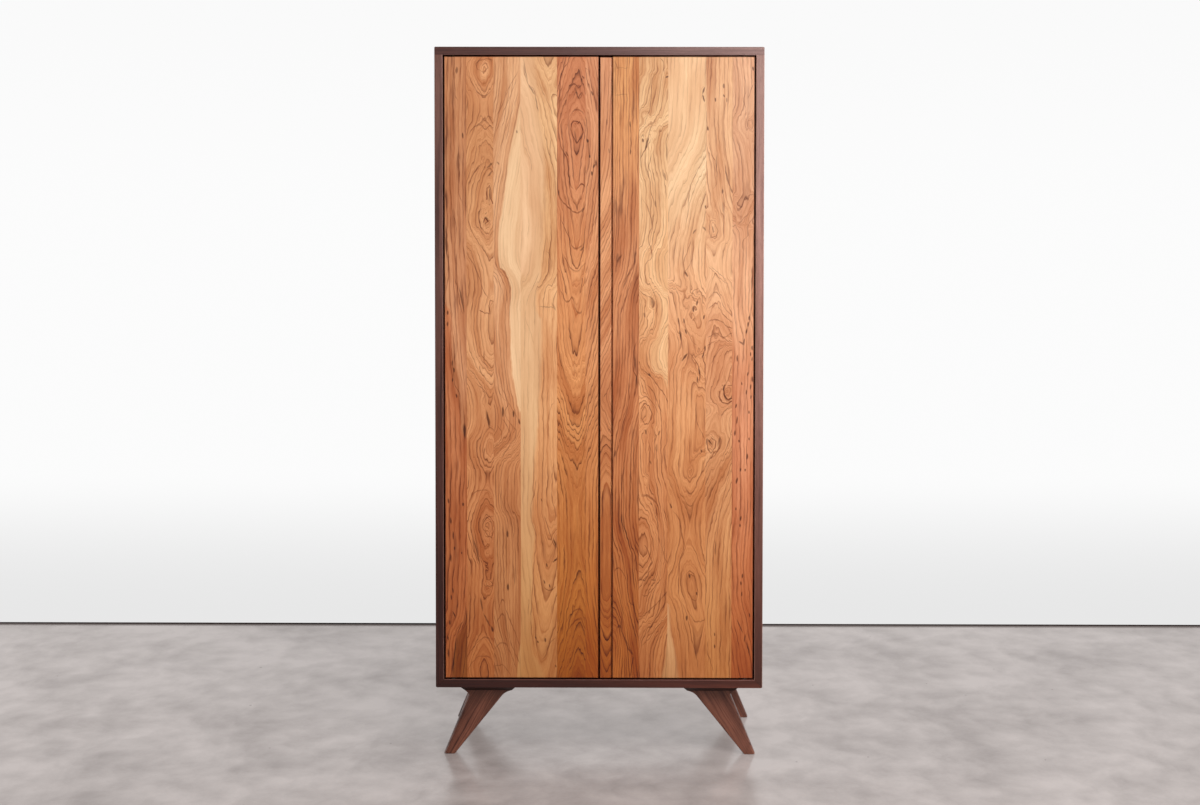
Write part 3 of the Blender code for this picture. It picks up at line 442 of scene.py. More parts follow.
def drawn(m, x, z, line):
    """A dark line of the figure, through pixels of the photograph that follow one another."""
    half_width, strength, *flat = line
    points = [on_door(px, py) for px, py in zip(flat[::2], flat[1::2])]
    length = sum(math.dist(first, second) for first, second in zip(points, points[1:]))
    width = half_width * PIXEL
    upright = one_way([point[1] for point in points])
    if not upright and not one_way([point[0] for point in points]):
        place = m.point(x, z)
        near = None
        for first, second in zip(points, points[1:]):
            near = joined("MINIMUM", near, m.reach(place, first, second))
        return near.ramp(width, width * LINE_CORE) * strength
    run, rise = (z, x) if upright else (x, z)
    pairs = [(point[1], point[0]) if upright else point for point in points]
    low, high = min(pairs)[0], max(pairs)[0]
    width = width * min(length / (high - low), LINE_WIDEST)
    near = rise.away(run.curve(pairs)).ramp(width, width * LINE_CORE)
    half = (high - low) / 2
    ends = run.away((low + high) / 2).ramp(half + 1, half * LINE_TAPER)
    return near * ends * strength


def height_of(py):
    """How high on the doors' front a pixel row of the photograph is, in millimetres."""
    return on_door(DOOR_MIDDLE, py)[1]


def course_of(z, points):
    """A course down a board, from (py, px) points, in millimetres."""
    return z.curve([on_door(px, py)[::-1] for py, px in points])


def cherry(name, shaded_rims, seed, column, spacing, round_by, waver, contrast, heart, climb, tone,
           line=(0.24, 0.12, 0.08), knots=(), burls=(), zones=(), lines=(), marks=(), flecks=0.0,
           banding=0.9, fading=0.0, zigzag=8.0, smoke=0.06, firming=1.0):
    """Edge-glued cherry board. Its figure is the growth rings of a trunk cut lengthwise.

    Lengths are the photograph's pixels, and places are (py, ...) or (px, py, ...).
    heart: the course of the middle of the rings. climb: how many rings the face has cut through
    at the column. tone: colours down the board. spacing: the width of a ring. round_by: how
    round the rings are. waver: how far the figure wanders, broadly and finely. zigzag: how
    jagged it is. contrast and firming: how dark rings are, and how much more so low down.
    line: the tint of the darkest rings. knots and burls: places where rings close, or curl.
    zones: (side, softness, colour, edge) for wood of another colour. fading: how much calmer
    the figure is there. banding, smoke and flecks: broad, misty and speckled darker wood.
    lines: (half width, strength, px, py, ...). marks: (px, py, px, py, half width, strength).
    shaded_rims: (axis, place) of the board's outer arrises, which get painted shade that makes the gaps
    beside them look darker and wider.
    """
    m = Finish(name)
    here = (m.x, m.z, m.y)
    broad = m.lumps(here, BROAD_SIZE, (seed * 7.1, seed * 3.7, 0), colour=True)
    fine = m.lumps(here, FINE_SIZE, (seed * 2.3, seed * 5.9, 0), detail=0.0, colour=True)
    x = m.x + broad[0] * (BROAD_SWAY[0] * waver[0]) + fine[0] * (FINE_SWAY[0] * waver[1])
    jag = m.lumps(here, JAG_SIZE, (seed * 1.1, seed, 0))
    z = (m.z + broad[1] * (BROAD_SWAY[1] * waver[0]) + fine[1] * (FINE_SWAY[1] * waver[1])
         + jag * (zigzag * 2))
    place = m.point(x, z)

    # The rings' number at each point, which rises by one from ring to ring.
    step = spacing * PIXEL
    roundness = round_by / spacing
    course = course_of(z, heart)
    rings = z.curve([(on_door(column, py)[1], count) for py, count in climb])
    across = (x - course) / step
    aside = (course - on_door(column, 360)[0]) / step
    depth = (m.y - DOOR_FRONT * MM) / step + roundness
    front = (aside * aside + roundness ** 2).math("SQRT")
    field = (across * across + depth * depth).math("SQRT") - front + rings
    for px, py, half_width, half_height, count, *turn in knots:
        field = field + oval(m, place, px, py, half_width, half_height, *turn) * count
    if burls:
        curl = m.lumps((x, z, m.y), CURL_SIZE, (seed, seed * 1.3, 0))
        for px, py, half_width, half_height, count in burls:
            field = field + oval(m, place, px, py, half_width, half_height) * curl * count

    # Rings aren't evenly wide, and some are darker.
    field = field + m.noise(field * 0.55, seed * 1.7, 0.0, 0.0) * RING_JITTER
    phase = field.math("FRACT")
    late = phase.math("POWER", 6.0).math("MAXIMUM", phase.ramp(0.09, 0.0))
    weight = (m.noise(field * 0.9 + 31.0, m.z / 90, seed * 2.1, 0.0) * 5.6 + 0.34).clamped()
    thin = (field * 2.0 + 0.37).math("FRACT").math("POWER", 4.0)
    fibre = m.noise(field * 6.0, m.z / 70, seed * 4.1, 2.0)
    bands = m.noise(field * 0.33 + 11.0, m.z / 300, seed * 0.9, 1.0)
    grain = m.lumps(here, GRAIN_SIZE)

    colour = m.z.colours([(on_door(column, py)[1], lifted(shade)) for py, shade in tone])
    calm = None
    for side, soft, shade, edge in zones:
        share = ((x - course_of(z, edge)) * side).ramp(-soft * PIXEL, soft * PIXEL)
        colour = m.blend(share, colour, lifted(shade))
        if fading:
            calm = joined("MINIMUM", calm, share * (-fading) + 1)
    firm = m.z.ramp(height_of(FIRM_FULL), height_of(FIRM_FROM), contrast * firming, contrast)
    strength = firm if calm is None else calm * firm
    # Painted light and shade by height, together with the wood's own deepening towards the floor.
    height_tint_and_shade = m.z.colours([(height_of(py), (*shares, 1)) for py, shares in HEIGHT_TINT_AND_PAINTED_SHADE])
    colour = m.stain(1.0, colour, height_tint_and_shade)
    broad_bands = (bands * (banding * 2.9) + 0.34).clamped()
    if calm is not None:
        broad_bands = broad_bands * (calm * 0.6 + 0.4)
    colour = m.stain(broad_bands, colour, WARM)
    threads = (fibre * 1.7 + grain * 1.0 + 0.2).clamped()
    colour = m.stain(threads if calm is None else threads * calm, colour, WARM)
    if smoke:
        haze = m.lumps((x, z, m.y), HAZE_SIZE, (seed * 3.1, 0, 0), detail=2.0).ramp(0.02, 0.26)
        colour = m.stain(haze * smoke, colour, SMOKE)
    colour = m.stain(late * strength * RUSSET_SHARE, colour, RUSSET)
    colour = m.stain((late * weight * strength * RING_SHARE).clamped(), colour, (*line, 1))
    colour = m.stain(thin * strength * THIN_SHARE, colour, WARM)

    # Lines and specks that the rings alone don't give.
    near_x = m.x + fine[0] * LINE_SWAY[0]
    near_z = m.z + fine[1] * LINE_SWAY[1]
    if lines:
        uneven_dark = m.noise(m.x / 16, m.z / 22, seed * 1.9, 1.0) * 1.8 + 0.95
        shown = None
        for stretch in lines:
            shown = joined("MAXIMUM", shown, drawn(m, near_x, near_z, stretch))
        colour = m.stain((shown * uneven_dark).clamped(), colour, DRAWN)
    dark = None
    if flecks:
        dash = m.noise(field * 1.5 + 5.0, m.z / 22, seed * 3.3, 1.0)
        dark = dash.ramp(0.34 - flecks, 0.42 - flecks) * 0.8
    near = m.point(near_x, near_z)
    for mark in marks:
        dark = joined("MAXIMUM", dark, stroke(m, near, *mark))
    if dark is not None:
        colour = m.stain(dark * SPECK_SHARE, colour, SPECK)
    # Painted shade along the outer arrises, on the front face only.
    rim_shade_mask = None
    for axis, place in shaded_rims:
        rim_shade_mask = joined("MAXIMUM", rim_shade_mask, getattr(m, axis).away(place).ramp(*PAINTED_RIM_FADE))
    on_front = m.y.away(DOOR_FRONT * MM).ramp(*FRONT_FADE)
    colour = m.stain(rim_shade_mask * on_front * PAINTED_RIM_SHARE, colour, PAINTED_RIM_SHADE)

    m.set("Base Color", colour)
    m.set("Roughness", fibre.ramp(-0.4, 0.4, *CHERRY_ROUGHNESS))
    m.set("Specular IOR Level", CHERRY_SPECULAR)
    m.bump(grain, GRAIN_DEPTH)
    return m.material


# The doors' boards, from left to right.
BOARDS = {}
BOARDS["left_door_board_1"] = dict(
    seed=1, firming=1.3, column=456, spacing=4, round_by=6, waver=(1.3, 0.9), contrast=0.75, smoke=0.7,
    line=(0.26, 0.14, 0.11), banding=1.3, flecks=0.015,
    heart=[(50, 400), (690, 400)],
    climb=[(50, 0), (150, 0.4), (300, -0.6), (400, -2.6), (430, -3), (600, -2), (640, 0.5), (690, 1.5)],
    tone=[(50, (202, 138, 94)), (250, (195, 129, 88)), (350, (213, 149, 107)), (450, (191, 126, 86)),
     (560, (184, 114, 70)), (690, (159, 96, 46))],
    zones=[(-1, 1.2, (196, 120, 78), [(50, 438), (290, 442), (303, 446), (320, 451), (369, 452.4),
     (390, 455), (402, 460), (425, 461), (440, 467), (470, 471), (600, 471), (613, 467), (628, 463),
     (640, 457), (655, 454), (690, 452)])],
    lines=[(0.7, 0.5, 456, 69, 454.4, 78, 455.3, 95, 457.8, 101),
     (0.6, 0.45, 457.8, 144, 459.5, 163, 458.7, 188, 461, 200, 465, 207),
     (0.6, 0.4, 449.3, 163, 451, 197, 452.7, 214, 456, 228, 454.4, 248),
     (0.8, 0.6, 446, 252, 448.5, 262, 448.5, 275, 447, 285, 446, 292),
     (0.7, 0.65, 457, 250, 456.3, 264, 456, 280, 458, 290, 460, 305, 463, 314, 465.4, 316.5),
     (0.6, 0.5, 447, 305, 451, 318, 451, 340, 452, 355, 453, 370, 455, 385, 459, 392, 461, 405, 460.4, 421),
     (0.7, 0.65, 465.6, 600, 465, 615, 462, 628, 457, 636, 455, 650, 453, 665, 452, 676)],
    marks=[(446, 187, 446.5, 212, 0.9), (446, 222, 447, 262, 1), (459, 285, 464.5, 315, 0.9, 0.8),
     (464.4, 424, 465, 438, 1.5), (447.5, 311, 447.8, 314, 0.8), (447.6, 322, 447.8, 326, 0.8),
     (452, 360, 452.4, 366, 0.7), (453.8, 368, 454, 372, 0.8), (452.6, 378, 452.8, 382, 0.7),
     (456, 394, 457, 398, 0.8), (457, 67, 456.5, 73, 1.1, 0.7), (462.5, 133, 462.8, 138, 0.9),
     (448.3, 499, 448.6, 503, 0.9), (450.6, 518, 450.8, 524, 0.9), (453, 531, 453.4, 540, 0.8),
     (454.4, 547, 454.7, 550, 0.7), (450.5, 554, 451, 562, 0.9), (463, 503, 463, 506, 0.8),
     (461.6, 552, 461.8, 554, 0.7), (452.8, 588, 453.2, 593, 0.8), (451, 595, 451.2, 600, 0.9),
     (452.6, 611, 455.3, 617, 0.7), (450, 620, 450, 625, 0.8), (448, 636, 448.2, 640, 1),
     (448, 648, 448.4, 657, 0.8), (463, 620, 457, 634, 0.7, 0.8), (456.5, 636, 452, 676, 0.7, 0.8)])
BOARDS["left_door_board_2"] = dict(
    seed=2, firming=1.6, column=487, spacing=3.4, round_by=4, waver=(1.2, 1.1), contrast=0.6,
    burls=[(484, 150, 9, 30, 5), (486, 215, 10, 24, 7), (484, 400, 9, 30, 4), (488, 545, 10, 40, 6)],
    heart=[(50, 484.5), (96, 484), (130, 485), (160, 488), (195, 489.5), (221, 486), (250, 490), (290, 492),
     (330, 493), (365, 492), (397, 490.5), (450, 490), (480, 487), (510, 488), (540, 490), (583, 488),
     (610, 484), (640, 483.5), (690, 487)],
    climb=[(45, 0.8), (57, -0.2), (69, -1.2), (80, 0), (88, 1), (96, 2), (106, 2.4), (118, 2), (126, 1),
     (134, 0), (142, -1), (150, -2), (160, -3), (170, -4.2), (180, -5), (190, -5.8), (205, -6), (221, -6.3),
     (232, -5), (240, -4), (246, -3), (255, -2), (270, -1), (290, -0.5), (300, -1), (320, -1.6), (345, -1),
     (356, 0), (362, 1), (369, 2), (373, 3), (379, 4), (385, 5), (397, 6), (420, 6.6), (430, 6), (438, 5),
     (450, 4.2), (460, 5), (467, 6), (475, 6.8), (492, 6), (500, 5), (508, 4), (518, 3), (527, 2.4),
     (537, 3), (557, 4), (567, 5), (583, 5), (600, 6.2), (615, 6.5), (630, 6.3), (638, 5.5), (645, 4.7),
     (652, 4), (660, 3.2), (671, 2.6), (690, 4)],
    knots=[(484.5, 69, 7, 12, -2.2), (489.5, 196, 3.2, 14, -3), (486.5, 221, 4.5, 5, 3),
     (487, 525, 6, 16, -2.5), (489, 583, 5, 5, 2)],
    tone=[(50, (228, 164, 116)), (150, (206, 141, 91)), (260, (212, 148, 102)), (350, (222, 160, 112)),
     (450, (212, 143, 96)), (690, (210, 140, 96))],
    lines=[(0.6, 0.55, 492, 60, 488, 58.6, 480, 60, 476, 64, 478, 70, 484, 72, 488, 68, 486, 63, 482.6,
      65.6), (0.6, 0.55, 466.6, 59, 468, 69.5, 473.2, 84.9, 484.2, 96, 492.8, 89),
     (0.6, 0.5, 479, 119, 480.8, 116.4, 485, 120.6, 488.5, 116.4, 492.8, 119),
     (0.7, 0.6, 467.4, 138, 472.3, 129.2, 480.8, 124.9, 485, 129.2, 490.2, 125.8, 492.8, 129.2),
     (0.7, 0.65, 468, 185.4, 474.9, 171.8, 483.4, 163.2, 492.8, 161.5),
     (0.8, 0.8, 486.8, 199, 487, 188.8, 489.3, 185.4, 491, 190.5, 491, 199, 492.8, 203.3),
     (0.9, 0.8, 483.4, 222, 485, 217.7, 488.2, 221, 485, 223.7),
     (0.6, 0.6, 492.8, 207.5, 483.4, 207.9, 478.6, 214.3, 480.8, 226.2, 482.5, 231.4),
     (0.6, 0.55, 466.4, 204, 469, 222.9, 476.6, 239.9, 485, 251.8, 488.5, 259),
     (0.6, 0.5, 467, 255, 474, 265, 480, 280, 484, 292, 489, 298, 493, 299),
     (0.7, 0.65, 480, 310.4, 485, 313, 490, 314, 489, 305, 490, 300.4, 493, 301),
     (0.6, 0.55, 484, 350, 484.2, 361, 488, 367, 493, 369.4),
     (0.6, 0.55, 479, 365, 482, 374, 488, 379, 493.4, 379.6),
     (0.7, 0.6, 476, 384, 482, 388, 487, 394, 490, 397.6, 493, 393),
     (0.6, 0.55, 485, 447, 484, 455, 488, 462, 493.6, 463),
     (0.7, 0.45, 468, 500, 476, 492, 484, 490, 492, 494),
     (0.7, 0.7, 490, 521, 492, 523, 493, 531, 491.6, 538, 488, 536, 485, 531, 482, 528, 484, 521, 488, 517,
      493, 516), (0.6, 0.55, 467, 530, 471, 543, 476, 557, 480.6, 571),
     (0.6, 0.55, 483, 583, 487, 586, 493.6, 585.4),
     (0.6, 0.55, 468, 655, 473, 648, 480, 640, 485, 637, 490, 642, 493.6, 650),
     (0.6, 0.5, 466.6, 672, 473, 662, 482, 656, 488, 657, 493, 660)],
    marks=[(486.3, 410, 489.7, 428, 1.4), (473, 536, 480.5, 567, 0.9, 0.8),
     (480.5, 597, 483, 612, 0.9, 0.8), (483, 612, 491, 628, 0.8, 0.7), (492, 627, 493, 631, 1.2),
     (487, 168, 492.5, 163, 1, 0.7), (488, 176, 492.5, 171, 0.9, 0.7), (490, 186, 489, 203, 0.8, 0.7),
     (485, 217, 488, 219, 0.9, 0.7), (464.5, 205, 465.5, 208, 1.2, 0.6), (468, 98, 466.5, 112, 0.6, 0.5)])
BOARDS["left_door_board_3"] = dict(
    seed=3, firming=1.35, column=508, spacing=3, round_by=6, waver=(1, 0.9), contrast=0.55, fading=0.6,
    heart=[(50, 440), (690, 440)],
    climb=[(50, 0), (72, 0.2), (99, 1), (131, 3), (170, 5.4), (215, 7.6), (245, 8.3), (259, 8.2),
     (271, 6.6), (283, 4.6), (292, 4.2), (310, 4.8), (362, 4.2), (383, 3.4), (404, 2), (420, 1.2),
     (434, 2.4), (446, 5.5), (457, 9), (480, 12), (500, 12), (520, 10), (535, 9.6), (600, 9.4), (690, 9)],
    knots=[(497, 705, 26, 112, -8)],
    tone=[(50, (228, 173, 128)), (250, (222, 164, 120)), (400, (216, 152, 107)), (440, (204, 133, 86)),
     (560, (203, 142, 98)), (690, (213, 152, 114))],
    zones=[(1, 1, SAP, [(50, 522), (72, 521.5), (99, 519.8), (118, 517.7), (131, 514), (149, 511),
     (170, 507), (191, 504), (215, 501), (236, 498.7), (259, 498.4), (271, 504.3), (282, 510), (292, 511.3),
     (309, 509.2), (334, 510), (362, 511.3), (383, 514), (404, 518), (416, 522), (440, 526), (600, 524),
     (640, 521), (660, 518), (690, 516)])],
    lines=[(0.6, 0.4, 519, 69.5, 509, 88, 498.7, 112, 494, 118),
     (0.6, 0.35, 517.4, 76.4, 510.6, 95, 502, 115.5, 493.8, 139.4),
     (0.5, 0.3, 519, 90, 510, 118, 503, 138, 495, 170),
     (0.5, 0.45, 500, 262, 505, 275, 510, 288, 510, 300, 509, 320),
     (0.5, 0.45, 494, 260, 500, 275, 506, 290, 508, 305), (0.5, 0.4, 494, 275, 502, 290, 505, 310),
     (0.6, 0.5, 500, 385, 506, 397, 508, 404, 505, 412, 509, 421, 515, 431),
     (0.5, 0.4, 496, 385, 501, 395, 510, 405, 518, 420),
     (0.6, 0.6, 502, 418, 508, 428, 510, 436, 502, 448, 494, 456),
     (0.6, 0.5, 497, 425, 501.6, 435, 495, 446), (0.6, 0.5, 512, 424, 516, 433, 510, 445, 500, 460),
     (0.5, 0.4, 506, 462, 501, 475, 500, 487, 502, 500, 506, 515, 508, 526, 506, 540, 507, 560),
     (0.5, 0.4, 512, 470, 507, 490, 510, 510, 514, 525, 513, 545, 514, 560),
     (0.6, 0.55, 494.6, 627, 499, 618, 502, 614, 506, 625, 510, 640, 516, 655, 521, 666),
     (0.6, 0.55, 497, 615, 500, 605, 502.6, 600, 506, 610, 510, 620, 516, 635, 521, 650),
     (0.6, 0.5, 494, 650, 499, 644, 504, 643, 509, 650, 514, 662, 518, 675),
     (0.6, 0.45, 494.6, 666, 502, 665, 507, 670, 512, 677)],
    marks=[(502.7, 407, 503.2, 417, 1.1), (513.2, 411, 513.8, 417, 0.9), (519, 419, 520, 424, 0.8),
     (516.5, 130, 517, 133, 0.6, 0.8), (507.5, 531, 508, 537, 0.9), (508, 583, 508, 591, 1),
     (515, 565, 514.5, 587, 0.5, 0.6), (497.3, 162, 499, 164, 0.7, 0.7)])
BOARDS["left_door_board_4"] = dict(
    seed=4, firming=1.1, column=541, spacing=4.6, round_by=6, waver=(1.4, 1.2), contrast=0.65, fading=0.62,
    heart=[(50, 548), (80, 549), (110, 566), (200, 570), (420, 566), (480, 557), (560, 548), (620, 545),
     (660, 542.5), (690, 543)],
    climb=[(50, 0), (63, 0.6), (75, 1.6), (95, 3), (113, 4), (150, 5.6), (175, 6.6), (230, 7), (264, 6.6),
     (282, 5.6), (306, 3.4), (340, 3.4), (470, 3.4), (500, 3.2), (540, 4), (589, 5), (625, 6), (659, 7),
     (675, 7.6), (690, 8)],
    tone=[(50, (233, 178, 130)), (220, (236, 180, 130)), (340, (224, 160, 110)), (560, (218, 152, 102)),
     (690, (232, 178, 134))],
    zones=[(-1, 2.4, (219, 168, 123), [(50, 534), (110, 538), (170, 545), (220, 543), (271, 540.8),
     (292, 538), (306, 536), (317, 540.8), (341, 542), (376, 540.8), (404, 540), (425, 538), (469, 534.5),
     (515, 533), (540, 534.5), (580, 533), (640, 532), (665, 540), (690, 548)]),
     (-1, 9, (231, 180, 137), [(50, 530), (110, 534), (170, 541), (220, 538), (270, 530), (310, 500),
     (690, 500)])],
    lines=[(0.6, 0.5, 522.6, 61, 526.8, 81.5, 534.5, 91.7, 537, 105, 538, 113),
     (0.6, 0.4, 539.6, 83, 546.4, 100, 550.7, 108.7, 553, 116), (0.6, 0.35, 524.3, 146, 531, 163, 532, 172),
     (0.6, 0.4, 551.5, 136, 549.8, 153, 553.2, 166.6, 556.6, 180), (0.5, 0.4, 546, 250, 551, 262, 549, 276),
     (0.5, 0.35, 526, 306, 529, 295, 534, 285, 539, 272),
     (0.5, 0.3, 525, 310, 526, 320, 530, 330, 534, 346), (0.6, 0.4, 555, 400, 550, 410, 548, 425, 549, 441),
     (0.6, 0.5, 534, 455, 536, 475, 534, 495, 531, 510, 533, 525, 536, 540, 534, 560, 533, 580, 532, 600,
      531, 620, 533, 640, 537, 655, 542, 660), (0.6, 0.5, 542, 660, 546, 655, 549, 645, 556, 637),
     (0.6, 0.55, 554, 462, 552, 475, 552, 495, 555, 510, 556, 521),
     (0.7, 0.65, 544, 515, 547, 525, 551, 537, 554, 545, 556, 549.6),
     (0.8, 0.7, 552, 562, 556, 560.6, 558, 557), (0.6, 0.5, 543, 580, 545, 588, 550, 590, 556, 586),
     (0.6, 0.4, 529, 598, 528, 616)],
    marks=[(523, 58, 528, 84, 0.6, 0.6), (528, 84, 535, 95, 0.7, 0.7), (535, 95, 538.5, 113, 0.5, 0.5),
     (537, 306.5, 557, 307.5, 0.6, 0.45), (552, 303, 556, 311, 1, 0.4), (553.5, 538, 556.5, 548, 0.8),
     (553, 562, 557, 559, 0.7), (546.5, 563, 547.5, 567, 0.6), (544, 580, 545, 584, 0.6),
     (549.4, 585, 549.8, 587, 0.7), (545.2, 638, 545.6, 642, 0.8), (537.5, 641, 538, 643, 0.7),
     (535.5, 637, 536, 639, 0.6), (555.6, 665, 556, 667, 0.6), (541, 499, 542, 502, 0.5)])
BOARDS["left_door_board_5"] = dict(
    seed=5, column=577, spacing=3.2, round_by=6, waver=(0.8, 1.4), contrast=0.9, zigzag=22, smoke=0.3,
    line=(0.16, 0.09, 0.1),
    heart=[(50, 578), (130, 577), (200, 577), (300, 576), (430, 576), (520, 576), (600, 579), (690, 579)],
    climb=[(50, 5.2), (70, 4), (85, 3), (97, 2), (109, 1), (120, 0.2), (131, -0.4), (145, 0), (190, 1),
     (210, 2), (249, 3), (271, 4), (284, 5), (312, 6), (348, 7), (375, 9), (399, 11), (423, 13), (449, 16),
     (480, 18.6), (510, 19.4), (560, 19.2), (590, 18), (610, 17), (640, 15), (690, 11)],
    tone=[(50, (202, 128, 86)), (160, (204, 130, 88)), (250, (218, 147, 97)), (500, (208, 134, 76)),
     (690, (183, 108, 30))],
    lines=[(0.8, 0.7, 571, 58, 561, 76, 559.7, 93, 558.4, 106),
     (0.8, 0.75, 562, 102, 568.5, 90, 574.5, 84, 578.8, 87.4, 583.5, 77.2),
     (0.7, 0.6, 572.8, 98.5, 576.7, 92.5, 579, 98.2, 583, 92.5),
     (0.6, 0.55, 565, 134, 567.7, 124, 570.2, 115.5, 577, 109.6, 582.2, 112, 585.6, 121),
     (0.8, 0.9, 577.9, 121.6, 574, 120.8, 571.4, 124, 570.4, 129, 572.8, 136, 576.7, 143, 580.5, 138.7,
      583.2, 133, 581.8, 125.7, 579.6, 121.6, 577.9, 123.6),
     (0.9, 0.7, 558.4, 130, 560.9, 146, 565, 154.7, 567.7, 161.5, 568.5, 173.4, 570.2, 183.6, 575.4, 191.8),
     (0.8, 0.7, 575.4, 191.8, 577.9, 187.9, 581.8, 184, 585.4, 187.9),
     (0.8, 0.65, 558.2, 188.7, 560, 197.3, 568.5, 207.5, 577, 212.6, 583.9, 208.3),
     (0.7, 0.55, 559.2, 214.3, 568.5, 236.4, 575.4, 248.4, 580.5, 246.7, 583.9, 243.3),
     (0.7, 0.6, 562, 252, 567, 262, 573, 270, 577, 271, 582, 266, 587, 262),
     (0.8, 0.7, 582.6, 277, 581.6, 285, 580, 294),
     (0.7, 0.6, 558.4, 285, 562, 293, 568, 302, 572, 297.6, 575, 308, 580, 313, 583.6, 305),
     (0.8, 0.6, 566, 622, 572, 613, 579, 609, 584.6, 616),
     (0.8, 0.6, 568, 631, 574, 622, 580, 618.6, 584, 626, 590, 641)],
    marks=[(574, 130, 577, 144, 0.8, 0.6), (577, 144, 583, 132, 0.8, 0.6), (566, 152, 568, 156, 1, 0.8),
     (582, 76, 584, 78, 0.9, 0.8), (575, 88, 578, 98, 0.8, 0.7), (578, 98, 582, 92, 0.8, 0.7),
     (558.5, 190, 559, 196, 1, 0.7), (582, 212, 584, 208, 1, 0.7), (580, 251, 584, 247, 0.8, 0.7),
     (559, 150, 559, 185, 1, 0.4)])
BOARDS["left_door_board_6"] = dict(
    seed=6, column=592, spacing=3.2, round_by=6, waver=(0.8, 1.3), contrast=0.8, zigzag=14, smoke=0.3,
    line=(0.18, 0.1, 0.1),
    heart=[(50, 572), (690, 572)],
    climb=[(50, 5), (109, 1.6), (131, 0.6), (190, 2.4), (249, 5), (284, 8), (348, 12), (399, 16),
     (449, 20.5), (490, 22.6), (560, 22.6), (610, 21.4), (690, 16)],
    tone=[(50, (210, 143, 104)), (250, (218, 149, 102)), (500, (204, 131, 78)), (690, (196, 114, 30))],
    lines=[(0.7, 0.6, 582, 57.6, 585.6, 67.8, 589.3, 69.5),
     (0.7, 0.6, 588, 64.4, 591.5, 84.9, 595, 100.2, 597, 115.5),
     (0.6, 0.5, 588, 138, 588.6, 149.6, 589.8, 156.4), (0.6, 0.5, 588, 239.8, 592.4, 227.9, 597, 214.3),
     (0.6, 0.4, 597.6, 275, 592, 290, 588, 311)],
    marks=[(591.3, 91, 593, 95, 0.8, 0.8), (587.5, 139, 588, 142, 1), (589.5, 155, 590, 158, 0.8),
     (595.8, 160, 596.3, 166, 0.9), (593.5, 168, 595, 164, 0.9), (591.8, 172, 592.4, 175, 0.9),
     (596, 98, 597, 112, 0.6, 0.6)])
BOARDS["right_door_strip"] = dict(
    seed=7, firming=2, column=606, spacing=3.3, round_by=4, waver=(0.5, 0.7), contrast=0.62,
    heart=[(50, 560), (385, 560), (400, 575), (425, 592), (445, 606), (690, 607)],
    climb=[(50, 0), (120, 0.8), (180, 3), (240, 9.6), (300, 17.6), (350, 24.6), (385, 29.2), (396, 30),
     (404, 29.4), (430, 26), (453, 23), (464, 22), (472, 21), (483, 20), (500, 19.3), (590, 19.2),
     (601, 20), (611, 21), (619, 22), (627, 23), (641, 24), (655, 25), (690, 27)],
    tone=[(50, (218, 155, 116)), (200, (220, 154, 106)), (380, (204, 133, 91)), (500, (207, 137, 88)),
     (600, (204, 129, 72)), (690, (178, 98, 28))],
    marks=[(606.5, 119, 607, 125, 0.7, 0.7), (609, 149, 609.4, 153, 0.7, 0.6),
     (603.5, 397, 606.5, 393, 0.6, 0.6)])
BOARDS["right_door_board_1"] = dict(
    seed=8, firming=1.4, column=627, spacing=2.9, round_by=6, waver=(0.9, 0.9), contrast=0.85, banding=1.4,
    smoke=0.6, line=(0.24, 0.12, 0.08),
    heart=[(50, 540), (690, 540)],
    climb=[(50, 0), (180, 0.2), (250, 0.9), (310, 5), (380, 6), (455, 10.5), (500, 11), (560, 7.6),
     (600, 6), (640, 3), (690, 0.5)],
    tone=[(50, (218, 154, 96)), (170, (207, 137, 88)), (240, (199, 129, 86)), (380, (202, 128, 83)),
     (540, (190, 117, 72)), (690, (207, 131, 68))],
    knots=[(617, 640, 16, 60, -3)],
    lines=[(0.7, 0.6, 614.5, 60, 618, 69), (0.8, 0.7, 630, 122, 631, 140, 630, 156),
     (1.2, 0.6, 636, 250, 634.5, 262, 630, 272, 625, 280), (1.4, 0.6, 622, 254, 617.6, 262, 615.6, 273),
     (0.7, 0.6, 632, 280, 625, 300, 620, 316),
     (0.8, 0.7, 637, 340, 634, 352, 633, 366, 635, 374, 637, 381, 635.5, 390, 634, 401),
     (0.8, 0.65, 628, 378, 629, 398, 627, 410, 622, 428, 620, 440, 614.8, 459),
     (0.8, 0.6, 626, 462, 622, 480, 621.6, 500, 621.2, 515, 625, 530, 629, 545, 632.5, 560, 633, 575, 634,
      591), (0.7, 0.5, 633, 520, 635.4, 545, 635, 560, 639.6, 576), (0.6, 0.45, 630, 468, 634, 502),
     (0.7, 0.6, 614, 571, 618, 568, 623, 573, 627, 583),
     (0.7, 0.6, 629, 600, 633, 605, 634, 615, 636, 630, 640, 641),
     (0.9, 0.7, 615.6, 633, 619, 626, 623, 634, 628, 648, 634, 655),
     (0.9, 0.65, 634, 655, 632, 665, 630, 678)],
    marks=[(614, 68, 631, 68, 0.5, 0.25), (614, 95.5, 629, 94, 0.5, 0.35), (630, 121, 630.4, 127, 0.6, 0.8),
     (630.6, 149, 630.8, 155, 0.7, 0.8), (620.5, 180, 621, 222, 1.6, 0.45), (616, 198, 616, 216, 1.2, 0.45),
     (617.5, 254, 617, 262, 1.6, 0.5), (635, 250, 634, 264, 0.8, 0.6), (630.7, 268, 622, 292, 0.9, 0.6),
     (622, 292, 616.6, 309, 0.7, 0.5), (634.5, 352, 635.5, 372, 0.8, 0.7),
     (637.5, 374, 635.5, 387, 0.8, 0.6), (615.5, 450, 614.5, 457, 0.8, 0.8),
     (624, 466, 620.6, 498, 0.5, 0.5), (622, 518, 633, 558, 0.6, 0.6), (628, 601, 634.5, 607, 0.5, 0.6),
     (619, 627, 633, 654, 0.5, 0.5)])
